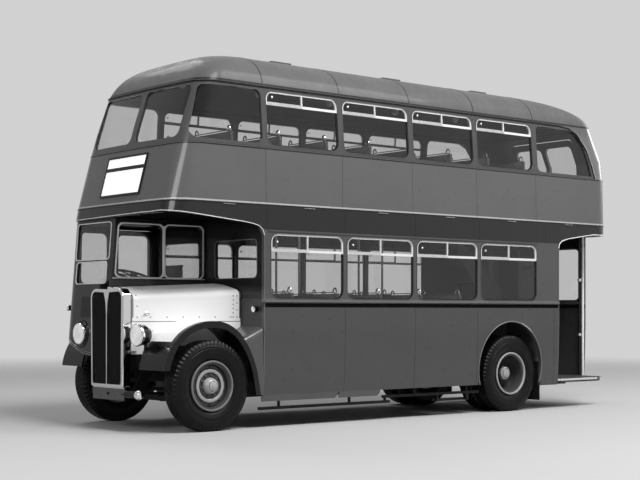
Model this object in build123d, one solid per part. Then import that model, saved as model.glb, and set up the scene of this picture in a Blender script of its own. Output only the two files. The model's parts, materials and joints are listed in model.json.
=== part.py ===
from build123d import *
import math
import os

os.makedirs("parts", exist_ok=True)

# Half-cab double decker bus with an open rear platform.
# Millimetres. X is towards the nearside, Y runs rearwards from the front axle, Z is up from the road.

WHEELBASE = 4978
HALF_WIDTH = 1143
WALL = 45
REAR_Y = 7065
RADIATOR_Y = -765
HANDLE = 25
CENTRE_Y = (REAR_Y + HANDLE + RADIATOR_Y) / 2

BULKHEAD_Y = 700
REAR_BULKHEAD_Y = 5896
BAY = 1172
BAYS = 4

SKIRT_Z = 382
REAR_SKIRT_Z = 335
FLOOR_Z = 700
FLOOR_T = 35
BEAD_Z = 2593
CANOPY_Z = 2450
UPPER_FLOOR_Z = (2460, 2550)
GUTTER_Z = 3978

TYRE_R = 515
TYRE_W = 250
RIM_R = 256
FRONT_TYRE_X = 985
REAR_TYRE_X = (660, 960)
KINGPIN_X = 800
ARCH_R = 618
ARCH_Y = 4920
ARCH_Z = 596

BONNET_HINGE = (-38, 1702)
BONNET_FRONT_Y = RADIATOR_Y + 120
SEAM_Z = 1240
CAB_INNER_X = -50
CAB_LOW_X = -300
CAB_WAIST_Z = 1720

LAMP = (640, -655, 1090)

DOOR_GAP = 6
RAIL = 12
SIDES = ((1, "nearside"), (-1, "offside"))


def block(x, y, z):
    """Box between low and high values."""
    centre = Pos((x[0] + x[1]) / 2, (y[0] + y[1]) / 2, (z[0] + z[1]) / 2)
    return centre * Box(x[1] - x[0], y[1] - y[0], z[1] - z[0])


def side_block(side, x, y, z):
    """Box on one side of the bus: x counts outwards from the centre line."""
    return block(sorted((side * x[0], side * x[1])), y, z)


def polygon(points, radius=0):
    """Face of a polygon, with all its corners rounded when a radius is given."""
    face = make_face(Polyline(*points, close=True))
    return fillet(face.vertices(), radius) if radius else face


def along_x(face, x):
    """Extrude a (Y, Z) profile between two X values."""
    return Pos(x[0], 0, 0) * extrude(Plane.YZ * face, x[1] - x[0])


def along_y(face, y):
    """Extrude an (X, Z) profile between two Y values."""
    return Pos(0, y[1], 0) * extrude(Plane.XZ * face, y[1] - y[0])


def along_z(face, z):
    """Extrude an (X, Y) profile between two Z values."""
    return Pos(0, 0, z[0]) * extrude(face, z[1] - z[0])


def rod(start, end, radius):
    """Round bar from one point to another."""
    line = Vector(*end) - Vector(*start)
    plane = Plane(origin=start, z_dir=line)
    return extrude(plane * Circle(radius), line.length)


def pipe(points, bends, radius):
    """Round pipe along straight runs joined by arcs."""
    path = FilletPolyline(*points, radius=bends)
    plane = Plane(origin=path @ 0, z_dir=path % 0)
    return sweep(plane * Circle(radius), path)


def spun(profile):
    """Solid of revolution about the X axis of an (X, radius) profile."""
    return revolve(polygon(profile), Axis.X)


def window(low, high, radius):
    """Rounded rectangle between two corners."""
    centre = Pos((low[0] + high[0]) / 2, (low[1] + high[1]) / 2)
    return centre * RectangleRounded(high[0] - low[0], high[1] - low[1], radius)


def largest(shape):
    """The biggest solid of a shape."""
    return max(shape.solids(), key=lambda solid: solid.volume)


def joined(shapes):
    """One shape from a list of shapes."""
    whole = shapes[0]
    for shape in shapes[1:]:
        whole = whole + shape
    return whole


# Body sections


# height, half width of the lower body
LOWER_SIDE = ((REAR_SKIRT_Z, 1108), (700, 1131), (1150, HALF_WIDTH), (BEAD_Z, HALF_WIDTH))

# height, half width, front, rear, front corner radius, rear corner radius
UPPER_SECTIONS = (
    (2180, 1143, -660, 7065, 290, 300),
    (BEAD_Z, 1143, -577, 7065, 290, 300),
    (3245, 1133, -400, 7060, 280, 300),
    (3520, 1115, -320, 7035, 270, 300),
    (GUTTER_Z, 1077, -165, 6815, 260, 290),
)

# height, half width, front, rear, front corner radius, rear corner radius
ROOF_SECTIONS = (
    (GUTTER_Z, 1077, -165, 6815, 260, 290),
    (4120, 1030, -80, 6735, 270, 330),
    (4240, 930, 30, 6500, 310, 380),
    (4330, 765, 215, 6130, 340, 400),
    (4390, 500, 500, 5620, 300, 300),
    (4420, 190, 920, 5000, 120, 120),
)
FRONT_BOW = 40


def outline(z, half, front, rear, front_r, rear_r, inset=0):
    """Plan of the body at one height: bowed front, square sides and rounded corners."""
    half -= inset
    front += inset
    rear -= inset
    edge_y = front + FRONT_BOW
    nose = ThreePointArc((-half, edge_y), (0, front), (half, edge_y))
    sides = Polyline((half, edge_y), (half, rear), (-half, rear), (-half, edge_y))
    face = make_face(nose + sides)
    fronts = [v for v in face.vertices() if v.Y < rear - 1]
    face = fillet(fronts, max(front_r - inset, 40))
    rears = [v for v in face.vertices() if v.Y > rear - 1]
    face = fillet(rears, max(rear_r - inset, 40))
    return Pos(0, 0, z) * face


def body_loft(inset):
    """Upper deck volume, inset from the outside."""
    return loft([outline(*row, inset=inset) for row in UPPER_SECTIONS], ruled=True)


def roof_loft(inset):
    """Domed roof volume, inset from the outside."""
    first, *rest = ROOF_SECTIONS
    rows = [first]
    for index, (z, *others) in enumerate(rest, start=1):
        drop = inset * index / len(rest)
        rows.append((z - drop, *others))
    return loft([outline(*row, inset=inset) for row in rows])


def lower_profile(inset):
    """Closed cross-section of the lower body."""
    right = [(half - inset, z) for z, half in LOWER_SIDE]
    left = [(-x, z) for x, z in reversed(right)]
    return polygon(right + left)


lower_inner = along_y(lower_profile(WALL), (BULKHEAD_Y, REAR_Y))
upper_outer = body_loft(0)
upper_inner = body_loft(WALL)


# Windows


LOWER_WINDOWS = [((805 + BAY * n, 1507), (1913 + BAY * n, 2262)) for n in range(BAYS)]
UPPER_WINDOWS = [((765 + BAY * n, 3290), (1852 + BAY * n, 3926)) for n in range(BAYS)]
WINDOW_R = 95
VENT_BARS = ((LOWER_WINDOWS, 2050), (UPPER_WINDOWS, 3760))
FRAME_W = 20


def quarter_light():
    """Raked window behind the upper deck's front corner."""
    return polygon(((-300, 3300), (692, 3300), (692, 3926), (-110, 3926)), 85)


def rear_light():
    """Window behind the last bay of the upper deck, with its rear edge swept down to the waist."""
    straight = Polyline((6130, 3926), (5468, 3926), (5468, 3290), (6625, 3290))
    rear_edge = ThreePointArc((6625, 3290), (6548, 3540), (6430, 3780))
    top_corner = ThreePointArc((6430, 3780), (6305, 3882), (6130, 3926))
    face = make_face(straight + rear_edge + top_corner)
    square = [v for v in face.vertices() if v.X < 5500]
    return fillet(square, 85)


def front_pane(side):
    """One of the two panes in the upper deck's front."""
    low, high = sorted((side * 40, side * 915))
    return window((low, 3320), (high, 3930), 80)


upper_cuts = along_x(quarter_light(), (-1300, 1300)) + along_x(rear_light(), (-1300, 1300))
for low, high in UPPER_WINDOWS:
    upper_cuts += along_x(window(low, high, WINDOW_R), (-1300, 1300))
for side, _ in SIDES:
    upper_cuts += along_y(front_pane(side), (-900, 300))

BULKHEAD_PANES = (window((166, 1750), (1007, 2200), 60), window((-980, 1750), (-166, 2200), 60))
PLATFORM_PANE = window((420, 1530), (1010, 2250), 60)
REAR_PANE = window((-120, 1530), (570, 2280), 80)

lower_cuts = [along_x(window(low, high, WINDOW_R), (-1300, 1300)) for low, high in LOWER_WINDOWS]

parts = {}


# Lower body


def lower_wall(side):
    """Side wall from the front bulkhead to the platform, with its windows and wheel arch."""
    skin = along_y(lower_profile(0), (BULKHEAD_Y, REAR_BULKHEAD_Y)) - lower_inner
    wall = skin & side_block(side, (900, 1200), (0, 8000), (0, 3000))
    for cut in lower_cuts:
        wall -= cut
    arch = Pos(ARCH_Y, ARCH_Z) * Circle(ARCH_R)
    arch += Pos(ARCH_Y, ARCH_Z - 400) * Rectangle(2 * ARCH_R, 800)
    wall -= along_x(arch, (-1300, 1300))
    wall -= block((-1300, 1300), (BULKHEAD_Y - 1, ARCH_Y - ARCH_R), (0, SKIRT_Z))
    waist = side_block(side, (HALF_WIDTH, HALF_WIDTH + RAIL), (BULKHEAD_Y, REAR_BULKHEAD_Y), (1456, 1490))
    drip = side_block(side, (HALF_WIDTH, HALF_WIDTH + 10), (BULKHEAD_Y + 60, 5450), (2285, 2298))
    return wall + waist + drip


for side, name in SIDES:
    parts[f"lower_{name}_wall"] = lower_wall(side)


def lower_floor():
    """Saloon floor with a box over each pair of rear wheels."""
    slab = along_y(lower_profile(WALL), (BULKHEAD_Y + WALL, REAR_BULKHEAD_Y - WALL))
    floor = slab & block((-1200, 1200), (0, 8000), (FLOOR_Z - FLOOR_T, FLOOR_Z))
    for side, _ in SIDES:
        ends = (ARCH_Y - ARCH_R - 20, ARCH_Y + ARCH_R + 20)
        cover = slab & side_block(side, (470, 1200), ends, (FLOOR_Z, 1240))
        floor += cover
        hollow = side_block(side, (490, 1200), (ARCH_Y - ARCH_R, ARCH_Y + ARCH_R), (500, 1220))
        floor -= hollow
    return floor


parts["lower_floor"] = lower_floor()


def front_bulkhead():
    """Wall between the engine, the cab and the saloon."""
    plate = along_y(lower_profile(WALL), (BULKHEAD_Y, BULKHEAD_Y + WALL))
    plate &= block((-1200, 1200), (0, 1000), (FLOOR_Z - FLOOR_T, UPPER_FLOOR_Z[0]))
    for pane in BULKHEAD_PANES:
        plate -= along_y(pane, (600, 800))
    return plate


parts["front_bulkhead"] = front_bulkhead()


def rear_bulkhead():
    """Wall between the saloon and the platform, open in the middle, low beside the stairs."""
    plate = along_y(lower_profile(WALL), (REAR_BULKHEAD_Y - WALL, REAR_BULKHEAD_Y))
    plate &= block((-1200, 1200), (5000, 6000), (SKIRT_Z, UPPER_FLOOR_Z[0]))
    plate -= block((-330, 330), (5000, 6000), (FLOOR_Z, 2330))
    plate -= block((-1200, -330), (5000, 6000), (1700, 2500))
    plate -= along_y(PLATFORM_PANE, (5800, 6000))
    return plate


parts["rear_bulkhead"] = rear_bulkhead()


def rear_plan(z, half, inset=0):
    """Plan of the rear end at one height, as far forward as the rear bulkhead."""
    half -= inset
    rear = REAR_Y - inset - (HALF_WIDTH - inset - half)
    corners = ((-half, REAR_BULKHEAD_Y), (half, REAR_BULKHEAD_Y), (half, rear), (-half, rear))
    face = polygon(corners)
    rears = [v for v in face.vertices() if v.Y > REAR_BULKHEAD_Y + 1]
    return Pos(0, 0, z) * fillet(rears, 300 - inset)


REAR_LEVELS = LOWER_SIDE[:-1] + ((CANOPY_Z, HALF_WIDTH),)


def rear_panel():
    """Offside and rear panel round the stairs, with the platform's rear window."""
    outer = loft([rear_plan(z, half) for z, half in REAR_LEVELS], ruled=True)
    inner = loft([rear_plan(z, half, WALL) for z, half in REAR_LEVELS], ruled=True)
    shell = outer - inner
    shell -= block((660, 1300), (5800, 7200), (0, 3000))
    shell -= along_y(REAR_PANE, (6900, 7200))
    return shell & block((-1300, 1300), (REAR_BULKHEAD_Y, 7200), (0, 3000))


parts["rear_platform_panel"] = rear_panel()

PLATFORM_Z = (360, 410)
TREAD_RIB = 8


def platform():
    """Open platform on two bearers, with ribs along its tread."""
    plan = rear_plan(0, 1108) & Pos(0, 6500) * Rectangle(3000, 2 * (7020 - 6500))
    deck = along_z(plan, PLATFORM_Z)
    deck -= parts["rear_platform_panel"]
    deck = largest(deck)
    for x in (-430, 430):
        deck += block((x - 30, x + 30), (REAR_BULKHEAD_Y + 4, 6850), (290, PLATFORM_Z[0]))
    for n in range(24):
        x = -120 + n * 50
        deck += block((x, x + 22), (REAR_BULKHEAD_Y + 40, 6930), (PLATFORM_Z[1], PLATFORM_Z[1] + TREAD_RIB))
    return deck


parts["platform"] = platform()

RISE = (UPPER_FLOOR_Z[1] - PLATFORM_Z[1]) / 9

# x from, x to, y from, y to of each tread, from the platform upwards
TREADS = (
    (-320, -140, 6350, 7015),
    (-520, -320, 6350, 7015),
    (-1095, -520, 6700, 7015),
    (-1095, -520, 6480, 6700),
    (-1095, -520, 6255, 6480),
    (-1095, -520, 6030, 6255),
    (-1095, -520, 5805, 6030),
    (-1095, -520, 5580, 5805),
)


def staircase():
    """Quarter-turn stairs from the platform up the offside, open treads and risers with one side panel."""
    stairs = None
    for index, (x0, x1, y0, y1) in enumerate(TREADS):
        top = PLATFORM_Z[1] + RISE * (index + 1)
        tread = block((x0, x1), (y0, y1), (top - 30, top))
        if index < 3:
            riser = block((x1 - 20, x1), (y0, y1), (top - RISE - 30, top))
        else:
            riser = block((x0, x1), (y1 - 20, y1), (top - RISE - 30, top))
        step = tread + riser
        stairs = step if stairs is None else stairs + step
    head = block((-1095, -520), (5560, 5580), (UPPER_FLOOR_Z[1] - RISE - 30, UPPER_FLOOR_Z[0]))
    stairs += head
    foot = PLATFORM_Z[1] + TREAD_RIB
    side_panel = ((6480, foot), (6480, 1700), (5560, 2450), (5560, 2200), (6300, 1300), (6300, foot))
    stairs += along_x(polygon(side_panel), (-520, -500))
    stairs -= block((-2000, 2000), (5000, 7200), (0, foot))
    inner = loft([rear_plan(z, half, WALL + 4) for z, half in REAR_LEVELS], ruled=True)
    inner += block((-1094, 1094), (5500, 6000), (500, 2500))
    return stairs & inner


parts["staircase"] = staircase()


# Upper body


def canopy_cut():
    """Everything under the upper deck, up to the arched edges at both ends."""
    middle = block((-1300, 1300), (BULKHEAD_Y, REAR_BULKHEAD_Y), (2000, BEAD_Z))
    offside = block((-1300, 500), (-1000, 7200), (2000, CANOPY_Z))
    front_line = Polyline((420, 2378), (-900, 2500), (-900, 2000), (BULKHEAD_Y, 2000), (BULKHEAD_Y, 2240))
    front_arc = ThreePointArc((BULKHEAD_Y, 2240), (622, 2340), (420, 2378))
    rear_line = Polyline(
        (6090, 2371), (6640, CANOPY_Z), (7300, CANOPY_Z),
        (7300, 2000), (REAR_BULKHEAD_Y, 2000), (REAR_BULKHEAD_Y, 2235))
    rear_arc = ThreePointArc((REAR_BULKHEAD_Y, 2235), (5955, 2335), (6090, 2371))
    front = make_face(front_line + front_arc)
    rear = make_face(rear_line + rear_arc)
    low_front = block((-1300, 1300), (-1000, -520), (2000, CANOPY_Z))
    return middle + offside + along_x(front, (500, 1300)) + along_x(rear, (500, 1300)) + low_front


# door opening in the rear wall: half width, bottom, top
EXIT = (600, 2640, 3900)
exit_hole = along_y(window((-EXIT[0], EXIT[1]), (EXIT[0], EXIT[2]), 70), (6500, 7300))
shell = upper_outer - upper_inner - canopy_cut()
bead_row = (0,) + UPPER_SECTIONS[1][1:]
bead = along_z(outline(*bead_row, inset=-8), (BEAD_Z - 7, BEAD_Z + 7))
bead -= along_z(outline(*bead_row, inset=20), (BEAD_Z - 20, BEAD_Z + 20))
bead -= block((-1300, 1300), (BULKHEAD_Y, REAR_BULKHEAD_Y), (BEAD_Z - 20, BEAD_Z))
shell += bead
shell -= upper_cuts

SPLITS = (BULKHEAD_Y + 20, 5430)


parts["upper_front"] = largest(shell & block((-1300, 1300), (-1000, SPLITS[0]), (2000, 4000)))
for side, name in SIDES:
    wall = shell & side_block(side, (800, 1300), SPLITS, (2000, 4000))
    parts[f"upper_{name}_wall"] = largest(wall)
rear_end = shell & block((-1300, 1300), (SPLITS[1], 7300), (2000, 4000))
parts["upper_rear_wall"] = largest(rear_end - exit_hole)


def emergency_door():
    """Rear door of the upper deck, with two panes."""
    low = (-EXIT[0] + DOOR_GAP, EXIT[1] + DOOR_GAP)
    high = (EXIT[0] - 2 * DOOR_GAP - 2, EXIT[2] - 2 * DOOR_GAP)
    leaf = (upper_outer - upper_inner) & along_y(window(low, high, 64), (6500, 7300))
    leaf -= along_y(window((-540, 3300), (-35, 3800), 70), (6500, 7300))
    leaf -= along_y(window((35, 3300), (540, 3800), 70), (6500, 7300))
    leaf += along_y(window((470, 3080), (500, 3200), 10), (REAR_Y - 8, REAR_Y + HANDLE))
    return leaf


parts["emergency_door"] = emergency_door()


def roof():
    """Domed roof with low ventilators along it."""
    dome = roof_loft(0) - roof_loft(WALL)
    for x, y in ((-330, 1500), (330, 1500), (-330, 3350), (330, 3350), (-330, 5000), (330, 5000)):
        vent = polygon(((y - 190, 4300), (y + 190, 4300), (y + 150, 4428), (y - 150, 4428)))
        scoop = along_x(vent, (x - 120, x + 120))
        dome += scoop - roof_loft(20)
    return dome


parts["roof"] = roof()


def upper_floor():
    """Upper deck floor, which is also the ceiling over the bonnet and the saloon, with the stair opening."""
    slab = upper_inner & block((-1300, 1300), (-1000, 7300), UPPER_FLOOR_Z)
    slab &= block((-1098, 1098), (-1000, 7300), UPPER_FLOOR_Z)
    return slab - block((-1099, -500), (5580, 6960), (2400, 2600))


parts["upper_floor"] = upper_floor()


def destination_box():
    """Box with two blinds on the front panel."""
    x, z = (-430, 430), (2694, 3178)
    box_face = window((x[0], z[0]), (x[1], z[1]), 12)
    proud = body_loft(-14) - upper_outer
    surround = proud & along_y(box_face, (-900, 0))
    upper = window((x[0] + 22, 3040), (x[1] - 22, z[1] - 22), 6)
    lower = window((x[0] + 22, z[0] + 22), (x[1] - 22, 3004), 6)
    skin = body_loft(-6)
    surround -= along_y(upper, (-900, 0)) - skin
    surround -= along_y(lower, (-900, 0)) - skin
    return surround


parts["destination_box"] = destination_box()


# Front end


# Y, Z of the wing's outer face over a wheel, front to rear: ends and middles of four arcs, then the rear edge
WING = (
    (-660, 700), (-582, 935), (-430, 1115), (-235, 1213), (10, 1247), (210, 1207), (385, 1086), (532, 865),
    (629, 564))
WING_TAIL = (662, 390)


def wing_area(inset):
    """Area inside the wing's outline, inset from its outer face."""
    scale = 1 - inset / 690
    curve = [(y * scale, TYRE_R + (z - TYRE_R) * scale) for y, z in WING + (WING_TAIL,)]
    crown = Polyline(curve[-2], curve[-1], (curve[-1][0], 200), (curve[0][0], 200), curve[0])
    for n in (0, 2, 4, 6):
        crown += ThreePointArc(curve[n], curve[n + 1], curve[n + 2])
    return make_face(crown)


# half width of the bonnet at its front and at the bulkhead, fall of its top to the front, and its thickness
BONNET_X = (450, 690)
BONNET_DROP = 60
BONNET_T = 20


def wing(side):
    """Crowned mudguard with a turned-down outer lip."""
    skin = along_x(wing_area(0), (400, 1132))
    skin -= along_x(wing_area(20), (390, 1116)) + along_x(wing_area(70), (390, 1200))
    skin &= block((300, 1300), (-700, 690), (390, 1300))
    skin -= block((300, 1300), (-800, 0), (0, 700))
    inboard = polygon((
        (300, -800), (620, -800), (600, -560), (499, -380), (BONNET_X[1] + 1, BULKHEAD_Y), (300, BULKHEAD_Y)))
    if side > 0:
        skin -= along_z(inboard, (0, 2000))
        return largest(skin)
    skin -= block((300, 662), (-800, 800), (0, 2000))
    return mirror(largest(skin), Plane.YZ)


wings = {name: wing(side) for side, name in SIDES}
parts["front_wings"] = wings["nearside"] + wings["offside"]


def quarter_panel():
    """Fairing between the nearside wing and the body: sloping shelf, round shoulder and flat side."""
    rear = BULKHEAD_Y - 1
    low, shelf = 392, ((395, 1045), (rear, 1180))
    outer = polygon((*shelf, (rear, low), (395, low))) - wing_area(-2)
    inner = polygon(((300, 990), (rear + 40, 1176), (rear + 40, low - 40), (300, low - 40)))
    whole = along_x(outer, (700, 1132))
    shoulder = [e for e in whole.edges() if e.center().X > 1130 and e.center().Z > 1060]
    hollow = along_x(inner, (650, 1112))
    inner_shoulder = [e for e in hollow.edges() if e.center().X > 1110 and e.center().Z > 1040]
    return largest(fillet(shoulder, 70) - fillet(inner_shoulder, 50))


parts["nearside_quarter_panel"] = quarter_panel()


def cab_solid(inset):
    """Cab volume inset from the outside, with its rounded offside front corner."""
    lean = inset * 1.02
    side_face = polygon((
        (BULKHEAD_Y, 840), (-695 + lean, 840), (-560 + lean, CANOPY_Z), (BULKHEAD_Y, CANOPY_Z)))
    low = along_x(side_face, (-HALF_WIDTH + inset, CAB_LOW_X - inset))
    low -= block((-2000, 2000), (-1000, 1000), (CAB_WAIST_Z + inset, 3000))
    high = along_x(side_face, (-HALF_WIDTH + inset, CAB_INNER_X - inset))
    high &= block((-2000, 2000), (-1000, 1000), (CAB_WAIST_Z + inset, CANOPY_Z - inset))
    cab = low + high
    offside = [e for e in cab.edges() if e.center().X < -HALF_WIDTH + inset + 5]
    corner = [e for e in offside if e.center().Y < -500 and e.length > 300]
    return fillet(corner, 280 - inset)


DRIVER_DOOR = ((40, 1310), (640, 2380))

# lower and upper windscreen, inner side windows, front quarter window
cab_openings = along_y(window((-860, 1688), (-170, 1940), 30), (-900, -300))
cab_openings += along_y(window((-900, 1970), (-130, 2402), 45), (-900, -300))
raked_pane = polygon(((-568, 1757), (90, 1757), (90, 2388), (-516, 2388)), 60)
cab_openings += along_x(raked_pane, (-100, 0))
cab_openings += along_x(window((122, 1757), (672, 2388), 60), (-100, 0))
cab_openings += along_x(window((-420, 1700), (-20, 2330), 70), (-1300, -1000))


def under_cab():
    """Area under the cab's front panel, whose lower edge sweeps up to the offside wing."""
    edge = ThreePointArc((-430, 839), (-720, 880), (-930, 980))
    rest = Polyline((-930, 980), (-1200, 1150), (-1200, 700), (-430, 700), (-430, 839))
    return make_face(edge + rest)


def cab_shell():
    """Driver's cab: front panel, windscreen opening, inner side, stepped floor and door opening."""
    shell = cab_solid(0) - cab_solid(40)
    shell += (cab_solid(40) & block((-1300, -640), (-1000, 1000), (1260, 1300)))
    shell += (cab_solid(40) & block((-662, -640), (-1000, 1000), (1060, 1300)))
    shell += (cab_solid(40) & block((-662, 0), (-1000, 1000), (1060, 1100)))
    shell -= block((-2000, 2000), (BULKHEAD_Y, 1000), (0, 3000))
    shell -= along_x(wing_area(-6), (-1300, -662))
    shell -= cab_openings
    shell -= along_x(window(DRIVER_DOOR[0], DRIVER_DOOR[1], 60), (-1300, -1000))
    shell -= Pos(-LAMP[0], -500, LAMP[2]) * Rot(90, 0, 0) * Cylinder(132, 600)
    shell -= along_y(under_cab(), (-1000, -300))
    hinge_x, hinge_z = BONNET_HINGE
    y0, y1 = BONNET_FRONT_Y, BULKHEAD_Y - 8
    filler = polygon((
        (y0, hinge_z - BONNET_DROP), (y1, hinge_z - 5), (y1, CAB_WAIST_Z + 2), (y0, CAB_WAIST_Z + 2)))
    shell += along_x(filler, (hinge_x - 22, hinge_x - 2))
    return largest(shell)


parts["cab_shell"] = cab_shell()


def cab_door():
    """Driver's door, with its window."""
    (y0, z0), (y1, z1) = DRIVER_DOOR
    face = window((y0 + 2 * DOOR_GAP, z0 + DOOR_GAP), (y1 - DOOR_GAP, z1 - DOOR_GAP), 54)
    leaf = along_x(face, (-HALF_WIDTH, -HALF_WIDTH + 40))
    leaf -= along_x(window((y0 + 80, 1760), (y1 - 70, z1 - 70), 60), (-1300, -1000))
    leaf += block((-HALF_WIDTH - RAIL, -HALF_WIDTH), (y0 + 30, y0 + 50), (1600, 1700))
    return leaf


parts["cab_door"] = cab_door()


def bonnet_section(y, corner_x, drop):
    """Cross-section of the bonnet at one place: hinge edge, crowned top, rounded shoulder, side."""
    x0, top_z = BONNET_HINGE[0] + 6, BONNET_HINGE[1] - 12 - drop
    middle_x = (x0 + corner_x) / 2
    foot_z = SEAM_Z + 3
    outer = ((x0, top_z), (middle_x, 1680 - drop), (corner_x - 70, 1618 - drop),
             (corner_x - 20, 1592 - drop), (corner_x, 1540 - drop))
    inner = ((x0, top_z - BONNET_T), (middle_x, 1660 - drop), (corner_x - 78, 1598 - drop),
             (corner_x - 36, 1576 - drop), (corner_x - BONNET_T, 1540 - drop))
    line = Polyline(outer[4], (corner_x, foot_z), (corner_x - BONNET_T, foot_z), inner[4])
    for curve in (outer, inner):
        line += ThreePointArc(*curve[:3]) + ThreePointArc(*curve[2:])
    line += Line(inner[0], outer[0])
    return Pos(0, y, 0) * (Plane.XZ * make_face(line))


def bonnet():
    """Top and nearside panel in one, hinged along the cab."""
    front = bonnet_section(BONNET_FRONT_Y, BONNET_X[0], BONNET_DROP)
    rear = bonnet_section(BULKHEAD_Y - 8, BONNET_X[1], 0)
    return loft([front, rear], ruled=True)


parts["bonnet"] = bonnet()


def bonnet_lower_side():
    """Fixed upright panel between the bonnet's seam and the wing, flaring outwards to the bulkhead."""
    front, rear = -650, BULKHEAD_Y - 6
    x_front, x_rear = BONNET_X
    plan = polygon(((x_front - BONNET_T, front), (x_front, front), (x_rear, rear), (x_rear - BONNET_T, rear)))
    top_z = SEAM_Z - 4
    under = Polyline((-440, 960), (rear, 960), (rear, top_z), (front, top_z), (front, 870), (-540, 870))
    corner = ThreePointArc((-540, 870), (-466, 892), (-440, 960))
    side = along_x(make_face(under + corner), (300, 800))
    return largest((along_z(plan, (800, top_z)) & side) - wings["nearside"])


parts["bonnet_lower_side"] = bonnet_lower_side()

RADIATOR_X = (-278, 440)
RADIATOR_Z = (488, 1622)
RADIATOR_T = 105
SURROUND = 36


def radiator_face(inset):
    """Radiator outline: round shoulders, a shallow dip in the middle of the top, slightly narrower foot."""
    x0, x1 = RADIATOR_X[0] + inset, RADIATOR_X[1] - inset
    z0, z1 = RADIATOR_Z[0] + inset, RADIATOR_Z[1] - inset
    middle = (x0 + x1) / 2
    face = polygon(((x0 + 14, z0), (x1 - 14, z0), (x1, z1), (middle, z1 - 14), (x0, z1)))
    shoulders = [v for v in face.vertices() if v.Y > z1 - 5]
    face = fillet(shoulders, 110 - inset)
    feet = [v for v in face.vertices() if v.Y < z0 + 5]
    return fillet(feet, 30)


def radiator_openings():
    """The two tall openings, with their inner top corners sloped to a V."""
    middle = sum(RADIATOR_X) / 2
    top = RADIATOR_Z[1]
    inner = radiator_face(SURROUND)
    bar = polygon((
        (middle - 8, 0), (middle + 8, 0), (middle + 9, top - 300), (middle + 22, top - 160),
        (middle + 75, top), (middle - 75, top), (middle - 22, top - 160), (middle - 9, top - 300)))
    return inner - bar


def radiator_shell():
    """Bright surround with its centre bar, and the plain apron under it."""
    ring = along_y(radiator_face(0), (RADIATOR_Y, RADIATOR_Y + RADIATOR_T))
    front_edges = [e for e in ring.edges() if abs(e.center().Y - RADIATOR_Y) < 1]
    ring = fillet(front_edges, 14)
    ring -= along_y(radiator_openings(), (RADIATOR_Y - 10, RADIATOR_Y + 60))
    ring -= along_y(radiator_face(SURROUND - 18), (RADIATOR_Y + 60, RADIATOR_Y + 200))
    x, y = (RADIATOR_X[0] + 20, RADIATOR_X[1] - 20), (RADIATOR_Y + 30, RADIATOR_Y + RADIATOR_T - 10)
    return ring + block(x, y, (348, RADIATOR_Z[0] + 5))


parts["radiator_shell"] = radiator_shell()

GRILLE_BARS = 33


def radiator_grille():
    """Core block with upright bars in front of it, in the two openings."""
    core = along_y(radiator_face(SURROUND - 17), (RADIATOR_Y + 62, RADIATOR_Y + RADIATOR_T))
    area = along_y(radiator_openings(), (RADIATOR_Y + 25, RADIATOR_Y + 62))
    middle = sum(RADIATOR_X) / 2
    pitch = (RADIATOR_X[1] - RADIATOR_X[0] - 2 * SURROUND) / GRILLE_BARS
    bars = []
    for n in range(GRILLE_BARS):
        x = middle + (n - (GRILLE_BARS - 1) / 2) * pitch
        bars.append(block((x - 3.5, x + 3.5), (RADIATOR_Y + 25, RADIATOR_Y + 62), (0, 2000)))
    return core + (joined(bars) & area)


parts["radiator_grille"] = radiator_grille()



def headlamp(side):
    """Headlamp: domed glass, bright rim and deep bowl on a short stem from the wing."""
    x, y, z = LAMP
    profile = (
        (0, -62), (60, -56), (100, -44), (104, -52), (119, -50),
        (120, -10), (112, 40), (80, 95), (40, 118), (0, 122))
    bowl = Pos(side * x, y, z) * revolve(polygon(profile), Axis.Y)
    stem = rod((side * x, y + 60, 760), (side * x, y + 60, z - 60), 17)
    return bowl + (stem - along_x(wing_area(0), (-1300, 1300)))


parts["headlamps"] = headlamp(1) + headlamp(-1)


# Chassis


MEMBER_X = (400, 460)

# y, z and radius of the towing pin's hole in the front end of each member
TOW_EYE = (-590, 422, 14)


def side_members():
    """The two frame side members, dropped behind the front axle and raised over the rear one."""
    profile = (
        (-640, 395), (-640, 450), (-450, 800), (520, 800), (690, 665), (5851, 665), (5851, 585),
        (4520, 585), (4400, 500), (900, 500), (700, 560), (480, 660), (-365, 660), (-540, 450), (-540, 395))
    face = polygon(profile) - Pos(TOW_EYE[0], TOW_EYE[1]) * Circle(TOW_EYE[2])
    return joined([along_x(face, sorted((side * MEMBER_X[0], side * MEMBER_X[1]))) for side, _ in SIDES])


parts["chassis_side_members"] = side_members()

# Y, bottom, top of the members across the frame
CROSS_MEMBERS = ((-560, 600, 660), (1400, 590, 660), (2900, 590, 660), (4150, 590, 660), (5750, 590, 660))
BEARERS = (1000, 2100, 3200, 4150, 5700)


def cross_members():
    """Members across the frame, and body bearers from the frame out to the walls."""
    pieces = []
    for y, low, high in CROSS_MEMBERS:
        pieces.append(block((-MEMBER_X[0], MEMBER_X[0]), (y - 30, y + 30), (low, high)))
    for y in BEARERS:
        for side, _ in SIDES:
            pieces.append(side_block(side, (MEMBER_X[1], 1050), (y - 25, y + 25), (605, FLOOR_Z - FLOOR_T)))
    return Compound(children=pieces)


parts["chassis_cross_members"] = cross_members()

ENGINE_X = (-190, 290)


def engine_block():
    """Engine as one block with its head and sump, on its mounts to the frame."""
    engine = block(ENGINE_X, (-500, 600), (700, 1150))
    engine += block((ENGINE_X[0] + 60, ENGINE_X[1] - 60), (-480, 560), (1150, 1420))
    engine += block((ENGINE_X[0] + 70, ENGINE_X[1] - 70), (-440, 560), (540, 700))
    for y in (-420, 480):
        engine += block((-MEMBER_X[0], MEMBER_X[0]), (y - 35, y + 35), (720, 780))
    return engine


parts["engine_block"] = engine_block()

ENGINE_MID = sum(ENGINE_X) / 2
DIFF_X = -160
STUB_R = 35
SPINDLE_R = 42
SPINDLE_END = 960
BORE_GAP = 0.05


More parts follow.
